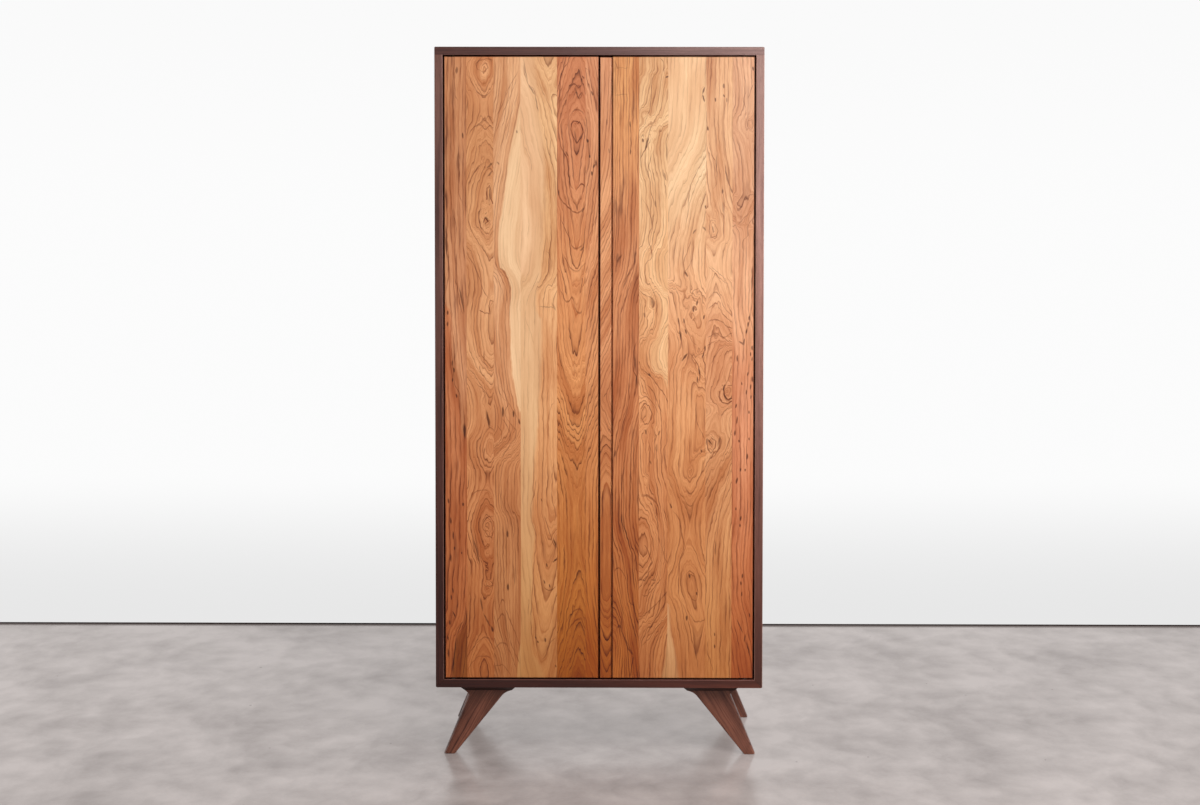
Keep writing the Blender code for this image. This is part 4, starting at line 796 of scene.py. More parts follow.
BOARDS["right_door_board_2"] = dict(
    seed=9, firming=1.35, column=655, spacing=3.1, round_by=5, waver=(1.5, 1.2), contrast=0.7, fading=0.3,
    burls=[(652, 130, 12, 36, 5), (650, 300, 10, 40, 4), (650, 430, 12, 40, 4)],
    heart=[(50, 560), (690, 560)],
    climb=[(50, 0), (68, 0), (75, 1), (107, 3), (117, 4.6), (124, 6.4), (152, 9.4), (163, 9.2), (208, 7.4),
     (243, 8.6), (264, 11), (289, 8.4), (306, 3.8), (334, 5.8), (355, 8.6), (376, 5.2), (393, 3.2),
     (470, 2.4), (501, 1), (600, 1.6), (625, 6), (650, 9), (690, 10)],
    knots=[(642, 137, 4, 6, 3), (645, 413, 9, 25, -5), (650, 545, 24, 62, -7), (651, 302, 5, 8, 3),
     (643, 113, 8, 10, 2.5), (647, 478, 5, 8, -2)],
    tone=[(50, (237, 184, 136)), (200, (235, 184, 138)), (350, (226, 162, 112)), (430, (214, 143, 96)),
     (560, (216, 149, 102)), (690, (220, 154, 112))],
    zones=[(1, 3, (230, 177, 129), [(50, 680), (150, 674), (230, 664), (250, 655), (267, 649), (285, 655),
     (306, 662), (334, 658), (355, 651), (376, 662), (393, 670), (420, 680), (690, 680)]),
     (1, 2, (246, 186, 152), [(50, 690), (590, 690), (604, 671), (630, 668.4), (655, 665), (676, 661.6),
     (690, 660)])],
    lines=[(0.6, 0.6, 657, 60, 657.6, 70, 652, 79, 651, 100, 649.6, 111, 645, 117, 640.6, 121),
     (0.6, 0.55, 659, 57, 663, 62, 664, 73), (0.8, 0.8, 648.5, 137, 646.5, 147, 643, 153, 640.4, 158.6),
     (0.7, 0.6, 641, 137, 643, 135, 644, 137.6), (0.6, 0.5, 657.6, 120, 652, 125, 649, 134, 646, 141),
     (0.6, 0.65, 652, 152, 650, 161, 648, 172, 650, 181, 650.5, 190, 653, 198, 655, 206),
     (0.7, 0.7, 640.4, 197, 643, 200, 647, 206, 650, 215, 652, 224, 650, 232, 648.4, 240, 651, 248, 652,
      255, 647, 262, 645, 269, 645, 278, 648, 285, 653, 289), (0.6, 0.6, 663, 169, 664, 176, 667, 181),
     (0.8, 0.65, 640.6, 292, 645, 295, 650, 297, 654, 303, 652, 308),
     (0.6, 0.55, 652, 288, 656, 300, 657, 308, 654, 316),
     (0.7, 0.7, 640.6, 368, 646, 372, 652, 378, 658, 386, 664, 394, 668, 403, 668.6, 412),
     (0.7, 0.65, 640.6, 384, 646, 384.4, 652, 390, 656, 398, 659, 406, 662, 413),
     (0.6, 0.6, 640.6, 398, 645, 396.6, 650, 400, 656, 408, 659, 415),
     (0.7, 0.7, 641, 409, 645, 403, 649, 406, 652, 414, 651, 420, 648, 424, 645, 424, 641, 418),
     (0.6, 0.5, 653, 428, 655, 440, 654, 461),
     (0.6, 0.5, 664, 420, 667, 431, 667, 440, 663.4, 450, 662, 466),
     (0.7, 0.65, 640.6, 496, 646, 495.6, 652, 499, 658, 506, 660, 520, 661, 540, 664, 555, 668.6, 566),
     (0.6, 0.6, 640.6, 502, 646, 502.4, 650, 504, 655, 505, 656.6, 512, 658, 530, 660, 546),
     (0.7, 0.6, 645, 545, 649.6, 555, 652, 562, 649, 567, 648, 575, 645, 580.6, 640.6, 580),
     (0.6, 0.5, 640.6, 594, 645, 596, 650, 592, 656, 585, 663, 577),
     (0.7, 0.55, 640.6, 615, 646, 613, 654, 606, 662, 598, 668, 590),
     (0.8, 0.65, 640.6, 635, 646, 634, 652, 625, 660, 612, 667, 600),
     (0.6, 0.5, 641, 646, 648, 640, 655, 630, 662, 621),
     (0.6, 0.5, 660, 630, 652.4, 645, 649.4, 661, 650, 678)],
    marks=[(666, 78, 668.4, 76, 0.8), (642.5, 139, 643.4, 142, 0.9), (648.4, 137, 645, 151, 1, 0.8),
     (664, 172, 666, 180, 0.7, 0.6), (651.7, 298, 653, 306, 1.6, 0.5), (644, 313, 645, 317, 1, 0.6),
     (648.6, 373, 650.4, 376, 0.8), (646, 430, 646, 434, 0.9, 0.8), (658, 435, 660, 431, 0.9, 0.7),
     (657, 444, 656.6, 452, 0.9, 0.5), (643, 580, 645, 581, 0.7, 0.7), (653, 581, 655, 580, 0.7, 0.7),
     (650.5, 503, 652, 505, 0.8, 0.7), (650, 461, 651, 464, 0.9, 0.7), (655, 200, 656, 208, 0.7, 0.6),
     (667, 145, 667, 160, 1.2, 0.25)])
BOARDS["right_door_board_3"] = dict(
    seed=10, column=688, spacing=4.4, round_by=5, waver=(1.2, 1.1), contrast=0.62, fading=0.5,
    burls=[(690, 300, 14, 50, 3), (698, 360, 8, 24, 5)],
    heart=[(50, 600), (240, 620), (300, 690), (347, 699), (360, 690), (400, 700), (440, 700), (470, 690),
     (510, 690), (585, 691), (620, 697), (690, 697)],
    climb=[(50, 0), (110, 0.4), (138, 1.4), (159, 3.4), (180, 5.8), (201, 7.6), (230, 9), (260, 10),
     (289, 9.2), (305, 8.4), (328, 9.4), (347, 11), (354, 11), (376, 10), (400, 9.6), (440, 9.4),
     (465, 9.2), (480, 10), (493, 11), (506, 12), (530, 12.4), (555, 11.6), (571, 10.4), (585, 9.8),
     (601, 10.6), (622, 11.6), (650, 12.4), (690, 12.8)],
    knots=[(690, 473, 4.5, 7, -1.6), (697, 305, 7, 14, -1.6), (704, 93, 3.4, 9, -2.2)],
    tone=[(50, (238, 190, 149)), (140, (240, 192, 150)), (200, (238, 184, 140)), (300, (225, 161, 116)),
     (420, (216, 148, 99)), (560, (218, 151, 101)), (690, (222, 158, 114))],
    zones=[(-1, 4, SAP, [(50, 706), (110, 705), (150, 700), (180, 690), (210, 680), (250, 668), (600, 664),
     (690, 664)]), (-1, 2, (244, 182, 148), [(50, 650), (590, 650), (604, 669), (630, 671.4), (655, 675),
     (676, 678.4), (690, 680)])],
    lines=[(0.6, 0.55, 703, 160, 697, 172, 691, 185, 689, 195, 688, 209),
     (0.6, 0.5, 706, 195, 702, 205, 699, 214), (0.6, 0.55, 691, 240, 689, 247, 686, 255, 684, 263),
     (0.6, 0.5, 693, 258, 688, 268, 685, 273, 687, 277),
     (0.6, 0.5, 695, 301, 692, 296, 693, 291, 698, 288.6, 702, 293, 703, 303),
     (0.7, 0.65, 677, 317, 679, 325, 681, 335, 681.4, 342, 679, 351),
     (0.6, 0.5, 684, 320, 686, 328, 689, 335, 693, 342, 699, 346.6),
     (0.7, 0.7, 688, 352, 692, 356, 696, 362, 699, 368, 700, 375, 698, 385),
     (0.7, 0.65, 706, 346, 704, 352, 703, 358, 705, 365, 705.2, 380, 706, 393),
     (0.6, 0.5, 697, 400, 696, 412, 698, 425, 703, 435, 706, 443),
     (0.7, 0.65, 684, 484, 687.4, 491.6, 690.6, 494, 694, 490, 698, 480, 701, 474, 705, 468, 707, 461),
     (0.6, 0.5, 679, 493, 684, 498, 688, 505, 691, 506.4, 694, 500),
     (0.7, 0.65, 669.4, 506, 674, 512, 680, 522, 682, 535, 684, 545, 682.4, 553, 680, 561, 679, 575, 678.6,
      590, 680, 601),
     (0.7, 0.55, 690, 571, 686.4, 574, 686, 582, 688, 592, 692, 599, 696, 601, 698, 593, 696, 582, 693.4,
      573.6, 690, 571), (0.6, 0.5, 681, 600, 686, 612, 689, 624, 692, 640, 696, 655, 699, 673),
     (0.6, 0.45, 684, 601, 690, 614, 697, 621.6, 704, 620, 707, 611)],
    marks=[(705, 87, 702.4, 94, 0.8), (702.4, 94, 704.5, 102, 0.8), (705.5, 206, 706, 208, 1.1),
     (696, 229, 693, 234, 0.8, 0.7), (703, 227, 706, 231, 0.8, 0.7), (678, 317, 679.5, 326, 0.7),
     (679.5, 330, 681, 341, 0.8), (685, 272, 687.5, 276, 0.8), (683.7, 319, 684.4, 323, 0.8),
     (685, 329, 686.4, 334, 0.8), (697.6, 300, 696.6, 305, 0.9), (693, 307, 693.4, 312, 1),
     (704.4, 315, 703.6, 319, 0.7), (687.5, 353, 682, 361, 1.1), (705.3, 346, 705, 350, 1),
     (704, 352, 702.5, 358, 0.7), (698.8, 368, 699.8, 375, 0.9), (697.8, 376, 697, 383, 0.8),
     (670, 504, 672, 508, 0.9), (689.3, 575, 689.7, 577.5, 0.9), (696.5, 593, 697, 595, 0.8),
     (686.5, 616, 686.9, 620, 0.9), (701.3, 450, 701.8, 452, 0.8)])
BOARDS["right_door_board_4"] = dict(
    seed=11, column=720, spacing=4.2, round_by=5, waver=(1.3, 1.1), contrast=0.66, flecks=0.02,
    burls=[(713, 228, 9, 26, 4), (727, 392, 9, 24, 5), (716, 320, 12, 40, 3)],
    heart=[(50, 660), (190, 680), (222, 713), (240, 713), (290, 716), (335, 718), (360, 731), (398, 729),
     (420, 716), (442, 711), (470, 690), (540, 660), (690, 660)],
    climb=[(50, 0), (120, 0.3), (170, -0.8), (200, -1.6), (220, -3), (232, -3.2), (245, -2), (264, -1.4),
     (282, -2.4), (293, -3), (306, -4), (320, -5), (333, -6), (345, -8), (365, -9.6), (384, -10.4),
     (394, -11), (403, -10), (412, -9), (430, -9), (442, -10), (452, -8.6), (475, -5.6), (500, -3.4),
     (540, -1.2), (580, -0.6), (690, -0.4)],
    knots=[(713.5, 229, 5, 12, -2.4), (728, 394, 5.5, 9, -2.2), (710.5, 443, 5, 8, -2.6)],
    tone=[(50, (211, 156, 113)), (160, (231, 178, 134)), (290, (221, 163, 120)), (345, (207, 136, 93)),
     (440, (218, 158, 114)), (690, (223, 160, 110))],
    lines=[(0.6, 0.5, 709, 140, 711, 152, 716, 165, 717, 178, 712, 191),
     (0.7, 0.6, 725, 163, 726, 172, 728, 182, 732, 190, 734, 197),
     (0.6, 0.55, 722, 183, 722.4, 191, 724, 200, 724.2, 212, 723.4, 225, 724, 241),
     (0.6, 0.55, 710.4, 221, 709, 231, 711, 238, 716, 236, 718, 231, 715, 224),
     (0.6, 0.4, 708, 266, 714, 272, 722, 280, 729, 284.6),
     (0.6, 0.6, 707.6, 298, 711, 296, 714, 292, 719, 295, 723, 305, 727, 311, 733.6, 317),
     (0.6, 0.55, 707.6, 309, 713, 305, 716, 303, 719, 308, 723, 314, 734, 324),
     (0.7, 0.6, 707, 326, 710, 320.6, 716, 320, 722, 322, 728, 327, 734.6, 328.6),
     (0.6, 0.55, 706.8, 338, 712, 335, 716, 333, 722, 337, 730, 334, 734.6, 331),
     (0.6, 0.5, 707, 346, 716, 341, 726, 340, 734.4, 338),
     (0.6, 0.45, 711, 364, 718, 352, 726, 345, 733, 343),
     (0.6, 0.5, 733.4, 360, 730, 372, 728, 380, 726, 384),
     (0.9, 0.9, 725, 385, 723.5, 390, 725, 396, 727.4, 399.6, 731, 398, 734, 392),
     (0.9, 0.8, 719.6, 391, 719, 397, 722, 402, 728, 404, 732.6, 400, 734.6, 394),
     (0.6, 0.55, 728, 386, 731, 385.6, 734, 388), (0.6, 0.5, 721, 416, 724, 411.6, 734.6, 404),
     (0.8, 0.7, 706.8, 440, 708, 449, 711, 453, 715, 448, 716, 441, 712, 438),
     (0.8, 0.6, 707, 458.4, 711, 458, 716, 454, 719.6, 445, 720, 436),
     (0.6, 0.5, 734, 420, 730, 438, 722, 458),
     (0.6, 0.4, 734, 462, 729, 475, 724, 495, 719, 520, 716.4, 541),
     (0.6, 0.5, 707.6, 640, 707.2, 650, 710, 660, 714, 673)],
    marks=[(715.4, 98, 715.8, 101, 0.8), (723.8, 84, 724, 88, 0.9, 0.8), (724, 95, 724.3, 97, 0.8),
     (726.6, 98, 726.8, 102, 0.7, 0.6), (707.7, 127, 708, 130, 1), (717, 152, 716.4, 173, 0.6, 0.6),
     (724.6, 166, 730, 187, 0.7, 0.6), (730, 187, 733, 194, 0.7, 0.6), (722.4, 189, 722.8, 193, 0.8, 0.8),
     (723, 201, 723.2, 215, 0.8, 0.5), (712.6, 226, 713.6, 233, 0.7, 0.6), (708, 264, 729, 282, 0.4, 0.5),
     (724.6, 384, 723, 392, 0.7, 0.8), (723, 392, 727, 401.5, 0.8, 0.8), (727, 401.5, 733, 397, 0.7, 0.8),
     (708.5, 440, 711.5, 444, 1), (707, 438, 706.6, 446, 0.6, 0.7), (719.7, 437, 717.6, 447, 0.9, 0.5),
     (714.4, 633, 714.6, 636, 0.7), (714.4, 645, 714.6, 648, 0.7), (715.6, 540, 715.2, 556, 0.6, 0.6)])
BOARDS["right_door_board_5"] = dict(
    seed=12, firming=1.3, column=744, spacing=3.9, round_by=6, waver=(1.3, 1.1), contrast=0.6, flecks=0.035,
    smoke=0.35, line=(0.24, 0.13, 0.1),
    heart=[(50, 800), (110, 790), (124, 751), (140, 752), (170, 780), (205, 740), (220, 741), (260, 800),
     (690, 800)],
    climb=[(50, 0), (100, 0.6), (114, 0), (124, -1), (134, 0), (160, 1.4), (195, 2), (211, 3), (240, 4.4),
     (300, 4.2), (345, 5.4), (400, 4.8), (500, 5), (560, 4), (619, 5.4), (656, 7.4), (690, 8.4)],
    knots=[(750.5, 124, 5, 9, -1.6)],
    tone=[(50, (212, 158, 120)), (200, (222, 168, 130)), (330, (224, 160, 118)), (370, (220, 150, 112)),
     (460, (224, 150, 113)), (560, (210, 132, 92)), (690, (190, 106, 58))],
    lines=[(0.6, 0.5, 744, 72, 745, 79, 746, 90, 743.4, 100, 746, 110, 744, 118, 742, 124),
     (0.6, 0.5, 753.4, 84, 750, 93, 748, 99),
     (0.6, 0.4, 748, 121, 752, 120, 753.4, 126, 751, 130, 747.6, 127, 747, 122),
     (0.7, 0.6, 735.4, 203, 738, 210, 743, 204, 746, 197, 748, 199, 750, 193, 752, 184),
     (0.6, 0.55, 753.6, 217, 750, 222, 748, 227, 748, 235, 743.6, 240, 742, 251),
     (0.6, 0.4, 738, 225, 745, 217, 752, 210),
     (0.7, 0.6, 753.4, 252, 752.5, 280, 752, 300, 750, 318, 747, 330, 744.6, 342)],
    marks=[(753, 67, 753.3, 70, 0.8), (752.3, 262, 751.5, 300, 0.6, 0.6), (749.4, 316, 749, 320, 0.8),
     (748.4, 322, 747.8, 327, 0.8), (746.8, 329, 746.2, 333, 0.8), (744.4, 338, 743.8, 345, 0.7),
     (743.8, 345, 739, 341, 0.9, 0.8), (752.3, 346, 752.2, 350, 0.8), (752, 357, 752, 361, 0.7),
     (750.6, 352, 750.6, 356, 0.7), (737.4, 355, 737.3, 362, 0.8), (747.9, 372, 747.7, 376, 0.7),
     (752.3, 376, 752.2, 382, 0.8), (750.6, 384, 750.4, 389, 0.8), (741.5, 382, 741.8, 385, 0.7),
     (746.4, 390, 746.3, 394, 0.8), (751.3, 395, 751.2, 399, 0.7), (736.6, 404, 735.5, 408, 0.9),
     (749, 411, 749, 414, 0.8), (737.4, 416, 736.8, 424, 0.8), (735, 430, 734.6, 436, 0.8),
     (739, 440, 739, 442, 0.8), (749, 438, 749, 440, 0.8), (747.4, 454, 747, 459, 0.9),
     (740.8, 468, 740.7, 471, 0.8), (745.4, 469, 745.3, 471, 0.7), (737.2, 478, 736, 483, 1.1),
     (735.7, 508, 735.8, 510, 0.8), (740.8, 516, 740.3, 521, 0.8), (740, 524, 740.2, 527, 0.8),
     (742.4, 574, 742.2, 578, 1), (740.8, 582, 740.9, 585, 0.9), (741.8, 592, 742, 596, 0.7),
     (749.2, 613, 750, 617, 0.7), (736, 618, 743.5, 634, 0.6, 0.8), (745.4, 634, 744.2, 642, 0.8, 0.8),
     (746, 640, 750, 656, 0.6, 0.6)])


def timber(name, seed, along, tone, spacing=2.6, lean=0.7, contrast=0.75, banding=1.1, pores=0.5,
           line=(0.42, 0.34, 0.32), edges=(), painted_edge_tone=(150, 112, 98), satin=0.40, wander=12.0):
    """Solid wood whose grain runs along x or z, or along a splayed leg.

    along: "x", "z" or a leg's slope. tone: (place along the grain, colour), in millimetres.
    lean: how far the rings are turned in the board's end, in radians. spacing: their width.
    wander: how far the grain sways, in millimetres. line: the tint of the rings and pores.
    contrast, banding and pores: how much of it they take. edges: (axis, place) of the arrises
    with painted light, in painted_edge_tone: painted highlights, and painted shade under the top board.
    satin: the middle roughness.
    """
    m = Finish(name)
    if along == "x":
        u, v, w = m.x, m.z, m.y
    elif along == "z":
        u, v, w = m.z, m.x, m.y
    else:
        slope = math.atan(along)
        u = m.z * math.cos(slope) + m.x * math.sin(slope)
        v = m.x * math.cos(slope) - m.z * math.sin(slope)
        w = m.y
    sway = m.lumps((u, v, w), SWAY_SIZE, (seed * 5.3, seed * 1.9, 0), colour=True)
    ripple = m.lumps((u, v, w), RIPPLE_SIZE, (seed * 2.7, 0, 0), detail=0.0)
    v = v + sway[0] * wander + ripple * 2.2
    w = w + sway[1] * wander
    across = v * math.cos(lean) + w * math.sin(lean)
    beside = w * math.cos(lean) - v * math.sin(lean)
    field = (across + beside * beside * RING_BOW) / spacing
    field = field + m.noise(field * 0.5 + seed * 3.1, u / 700, 0.0, 0.0) * WALNUT_JITTER
    phase = field.math("FRACT")
    late = phase.math("POWER", 4.0).math("MAXIMUM", phase.ramp(0.16, 0.0))
    weight = (m.noise(field * 0.8 + 17.0, u / 170, seed * 2.1, 0.0) * 2.6 + 0.5).clamped()
    bands = m.noise(field * 0.24 + 3.0, u / 420, seed * 0.9, 1.0)
    fibre = m.noise(field * 3.7, u / 42, seed * 4.1, 2.0)
    pore = m.lumps((across, beside, u), PORE_SIZE, detail=0.0).ramp(0.14, 0.24)

    tint = (*line, 1)
    colour = u.colours([(place, rgb(*shade)) for place, shade in tone])
    colour = m.stain((bands * banding * 2 + 0.25).clamped(), colour, tint)
    colour = m.stain((fibre * 1.9 + 0.16).clamped(), colour, tint)
    colour = m.stain((late * weight * (contrast * 1.15)).clamped(), colour, tint)
    colour = m.stain(pore * pores, colour, PORE_SHADE)
    # Painted light along the case's front arrises: painted highlights on the sides and bottom, and painted
    # shade under the top board, broken up by noise.
    if edges:
        wear_and_painted_light = None
        for axis, place in edges:
            wear_and_painted_light = joined("MAXIMUM", wear_and_painted_light, getattr(m, axis).away(place).ramp(*EDGE_FADE))
        face = m.y.ramp(*(CASE_FRONT * MM + behind for behind in FACE_FADE))
        painted_edge_breakup = (m.noise(u / 30 + 9.0, v / 5, seed * 1.3, 1.0) + 0.75).clamped()
        colour = m.blend(wear_and_painted_light * face * painted_edge_breakup * EDGE_SHARE, colour, rgb(*painted_edge_tone))

    m.set("Base Color", colour)
    m.set("Roughness", fibre.ramp(-0.35, 0.35, satin + 0.07, satin - 0.03))
    m.set("Specular IOR Level", WALNUT_SPECULAR)
    m.bump(pore * -1.0 + fibre * 0.5, PORE_DEPTH)
    return m.material


def leg_slope(side, low, high):
    """How far a leg leans sideways for each millimetre up."""
    (low_x, low_z), (high_x, high_z) = low, high
    return side * (high_x - low_x) / (high_z - low_z)


# Walnut, and the plain boards behind the doors.
# The case boards' colours grow lighter upwards and to the right: painted light from the lamps on the right,
# and painted shade low down, on top of the walnut's own colour.
WALNUT = {
    "left_side": dict(
        seed=1, along="z", spacing=4.2, lean=0.3, contrast=1.0, banding=1.3, edges=[("x", -INSIDE)],
        tone=[(CASE_LOW, (58, 20, 12)), (700, (86, 44, 35)), (1300, (116, 76, 65)),
              (CASE_TOP, (122, 82, 70))]),
    "right_side": dict(
        seed=2, along="z", spacing=3.8, lean=0.4, contrast=0.6, banding=0.8,
        edges=[("x", CASE_SIDE), ("x", INSIDE)], painted_edge_tone=(206, 158, 140),
        tone=[(CASE_LOW, (74, 36, 26)), (500, (112, 64, 51)), (900, (144, 98, 86)),
              (1300, (196, 142, 126)), (CASE_TOP, (163, 128, 118))]),
    "top_board": dict(
        seed=3, along="x", spacing=5.0, lean=1.2, contrast=0.7, banding=0.9,
        edges=[("z", INSIDE_TOP)], painted_edge_tone=(96, 52, 42),
        tone=[(-CASE_SIDE, (84, 46, 38)), (0, (94, 58, 52)), (300, (138, 104, 98)),
              (CASE_SIDE, (152, 116, 108))]),
    "bottom_board": dict(
        seed=4, along="x", spacing=4.6, lean=1.2, contrast=0.7,
        edges=[("z", INSIDE_FLOOR)], painted_edge_tone=(150, 96, 84),
        tone=[(-CASE_SIDE, (58, 20, 12)), (0, (66, 26, 17)), (CASE_SIDE, (106, 52, 38))]),
    "back_panel": dict(
        seed=5, along="z", spacing=7.5, lean=0.25, contrast=0.5, wander=50.0, satin=0.52,
        tone=[(CASE_LOW, (116, 80, 58)), (CASE_TOP, (124, 86, 62))]),
}
for shelf, seed, left_shade, right_shade in (("middle", 6, (108, 70, 50), (112, 74, 53)),
                                             ("lower", 7, (112, 74, 54), (104, 66, 48)),
                                             ("upper", 8, (106, 70, 52), (114, 76, 54))):
    WALNUT[shelf + "_shelf"] = dict(seed=seed, along="x", satin=0.46,
                                    tone=[(-450, left_shade), (450, right_shade)])
for end, first_seed in (("front", 20), ("rear", 30)):
    for seed, (side_name, side) in enumerate((("left", -1), ("right", 1)), first_seed):
        WALNUT[side_name + "_" + end + "_leg"] = dict(
            seed=seed, along=leg_slope(side, FOOT_CENTRE, LEG_HEAD_CENTRE), spacing=5.2, lean=0.35,
            contrast=1.2, banding=1.7, satin=0.34, line=(0.28, 0.20, 0.18),
            tone=[(-250, (139, 85, 66)), (250, (124, 75, 58))])
        # The plates' dark tone is painted shade, for their place under the case, on top of the walnut's own
        # colour.
        WALNUT[side_name + "_" + end + "_plate"] = dict(
            seed=seed + 5, along="x", spacing=3.0, tone=[(-400, (64, 33, 24)), (400, (64, 33, 24))])
for number in (1, 2, 3):
    for door in ("left", "right"):
        WALNUT[door + "_door_batten_" + str(number)] = dict(
            seed=40 + number * 2 + (door == "left"), along="x", spacing=3.6, contrast=0.5, banding=0.6,
            line=(0.58, 0.42, 0.34), pores=0.2, tone=[(-450, (176, 110, 70)), (450, (184, 118, 76))])


def metal(name, colour, roughness, dull, spread):
    """Machined or plated metal, with fine turning marks and a little tarnish."""
    m = Finish(name)
    cloud = m.lumps((m.x, m.y, m.z), (6, 6, 6), detail=2.0)
    scratch = m.lumps((m.x, m.y, m.z), (0.25, 0.25, 2.5))
    m.set("Base Color", m.blend((cloud * 1.6 + 0.4).clamped(), (*colour, 1), (*dull, 1)))
    m.set("Metallic", 1)
    m.set("Roughness", (cloud + scratch * 0.4).ramp(-0.35, 0.35, roughness - spread,
                                                    roughness + spread))
    m.bump(scratch, 0.01)
    return m.material


def moulded(name, colour, wear_and_painted_light, roughness, grain):
    """Moulded plastic with a fine sparked texture."""
    m = Finish(name)
    cloud = m.lumps((m.x, m.y, m.z), (9, 9, 9), detail=2.0)
    spark = m.lumps((m.x, m.y, m.z), (grain, grain, grain), detail=2.0)
    m.set("Base Color", m.blend((cloud + 0.4).clamped(), (*colour, 1), (*wear_and_painted_light, 1)))
    m.set("Roughness", spark.ramp(-0.3, 0.3, roughness - 0.08, roughness + 0.08))
    m.bump(spark, 0.03)
    return m.material


HARDWARE = {
    "brass": metal("brass_aged", (0.58, 0.42, 0.18), 0.36, (0.30, 0.20, 0.09), 0.08),
    # A darkened copy of the brass for the hinge leaves: painted shade, so that the gaps they sit in stay
    # dark.
    "bronze": metal("brass_blackened", (0.075, 0.052, 0.030), 0.46, (0.035, 0.025, 0.016), 0.08),
    "steel": metal("steel_plated", (0.58, 0.575, 0.56), 0.30, (0.42, 0.415, 0.40), 0.06),
    "black_plastic": moulded("plastic_black", (0.030, 0.028, 0.026), (0.05, 0.048, 0.046), 0.46, 0.7),
    "nylon": moulded("nylon_black", (0.045, 0.040, 0.036), (0.07, 0.064, 0.058), 0.50, 0.9),
}


def dress(node, material):
    """Gives a CAD node's object a material."""
    for held in frame["nodes"][node].material_slots:
        held.material = material


# Which upright sides of a board are outer ones of its door: 0 is the left one and 1 the right one.
OUTER = {"left_door_board_1": (0,), "left_door_board_6": (1,), "right_door_strip": (0, 1),
         "right_door_board_1": (0,), "right_door_board_5": (1,)}
for board, facts in BOARDS.items():
    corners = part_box(board)
    # Their ends, and the outer sides of each door, get painted shade along the arris.
    shaded_rims = [("z", corner[2] * MM) for corner in corners]
    shaded_rims += [("x", corners[end][0] * MM) for end in OUTER.get(board, ())]
    dress(board, cherry("cherry_" + board, shaded_rims, **facts))
for board, facts in WALNUT.items():
    dress(board, timber("timber_" + board, **facts))
for part in frame["record"]["subparts"]:
    if part["material_slot"] in HARDWARE:
        # The hinge leaves take the darkened brass: painted shade in the door gaps.
        leaf = part["node"].endswith("_leaf")
        dress(part["node"], HARDWARE["bronze" if leaf else part["material_slot"]])


def screw_mesh(name, profile, slot_half, slot_depth):
    """A turned, slotted head with its axis up Z; profile is (radius, height), from the top."""
    bm = bmesh.new()
    rows = []
    for radius, height in profile:
        angles = [2 * math.pi * i / SCREW_SIDES for i in range(SCREW_SIDES)] if radius else [0]
        rows.append([bm.verts.new((radius * math.cos(angle), radius * math.sin(angle), height))
                     for angle in angles])
    for upper, lower in zip(rows, rows[1:]):
        for i in range(SCREW_SIDES):
            j = (i + 1) % SCREW_SIDES
            corners = [upper[i % len(upper)], lower[i % len(lower)], lower[j % len(lower)],
                       upper[j % len(upper)]]
            bm.faces.new(list(dict.fromkeys(corners)))
    for place in (-slot_half, slot_half):
        bmesh.ops.bisect_plane(bm, geom=bm.verts[:] + bm.edges[:] + bm.faces[:],
                               plane_co=(place, 0, 0), plane_no=(1, 0, 0))
    bm.normal_update()
    inside = [face for face in bm.faces
              if abs(face.calc_center_median().x) < slot_half and face.normal.z > 0.2]
    grown = bmesh.ops.extrude_face_region(bm, geom=inside)["geom"]
    for vert in grown:
        if isinstance(vert, bmesh.types.BMVert):
            vert.co.z = min(vert.co.z, profile[0][1]) - slot_depth
    bmesh.ops.delete(bm, geom=inside, context="FACES")
    bmesh.ops.recalc_face_normals(bm, faces=bm.faces[:])
    mesh = bpy.data.meshes.new(name)
    bm.to_mesh(mesh)
    bm.free()
    return mesh


# Screws, in the holes that the leaves, latches and strikes have for them, and under the plates.
SUNK_HEAD = [(0, -0.0001), (0.0030, -0.0001), (0.0035, -0.0003), (0.0019, -0.0019), (0, -0.0019)]
SMALL_HEAD = [(0, -0.0001), (0.0028, -0.0001), (0.0031, -0.0003), (0.0018, -0.0012), (0, -0.0012)]
ROUND_HEAD = [(0, 0.0022), (0.0014, 0.0021), (0.0026, 0.0016), (0.0035, 0.0007), (0.0038, 0),
              (0.0030, -0.0002), (0, -0.0002)]
PAN_HEAD = [(0, 0.0016), (0.0016, 0.0015), (0.0028, 0.0009), (0.0032, 0), (0.0018, -0.0002),
            (0, -0.0002)]
SCREWS = {
    "sunk": (screw_mesh("screw_sunk", SUNK_HEAD, 0.0004, 0.0008), "brass"),
    "small": (screw_mesh("screw_small", SMALL_HEAD, 0.0004, 0.0006), "steel"),
    "round": (screw_mesh("screw_round", ROUND_HEAD, 0.00055, 0.0011), "steel"),
    "pan": (screw_mesh("screw_pan", PAN_HEAD, 0.0004, 0.0008), "steel"),
}
for mesh, slot in SCREWS.values():
    mesh.materials.append(HARDWARE[slot])
    for face in mesh.polygons:
        face.use_smooth = False


def screw(name, kind, place, facing, turn, body):
    mesh, slot = SCREWS[kind]
    made = bpy.data.objects.new(name, mesh)
    scene.collection.objects.link(made)
    upright = Vector(facing).to_track_quat("Z", "Y").to_matrix().to_4x4()
    made.matrix_world = (Matrix.Translation(place) @ upright
                         @ Matrix.Rotation(math.radians(turn), 4, "Z"))
    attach(made, body)


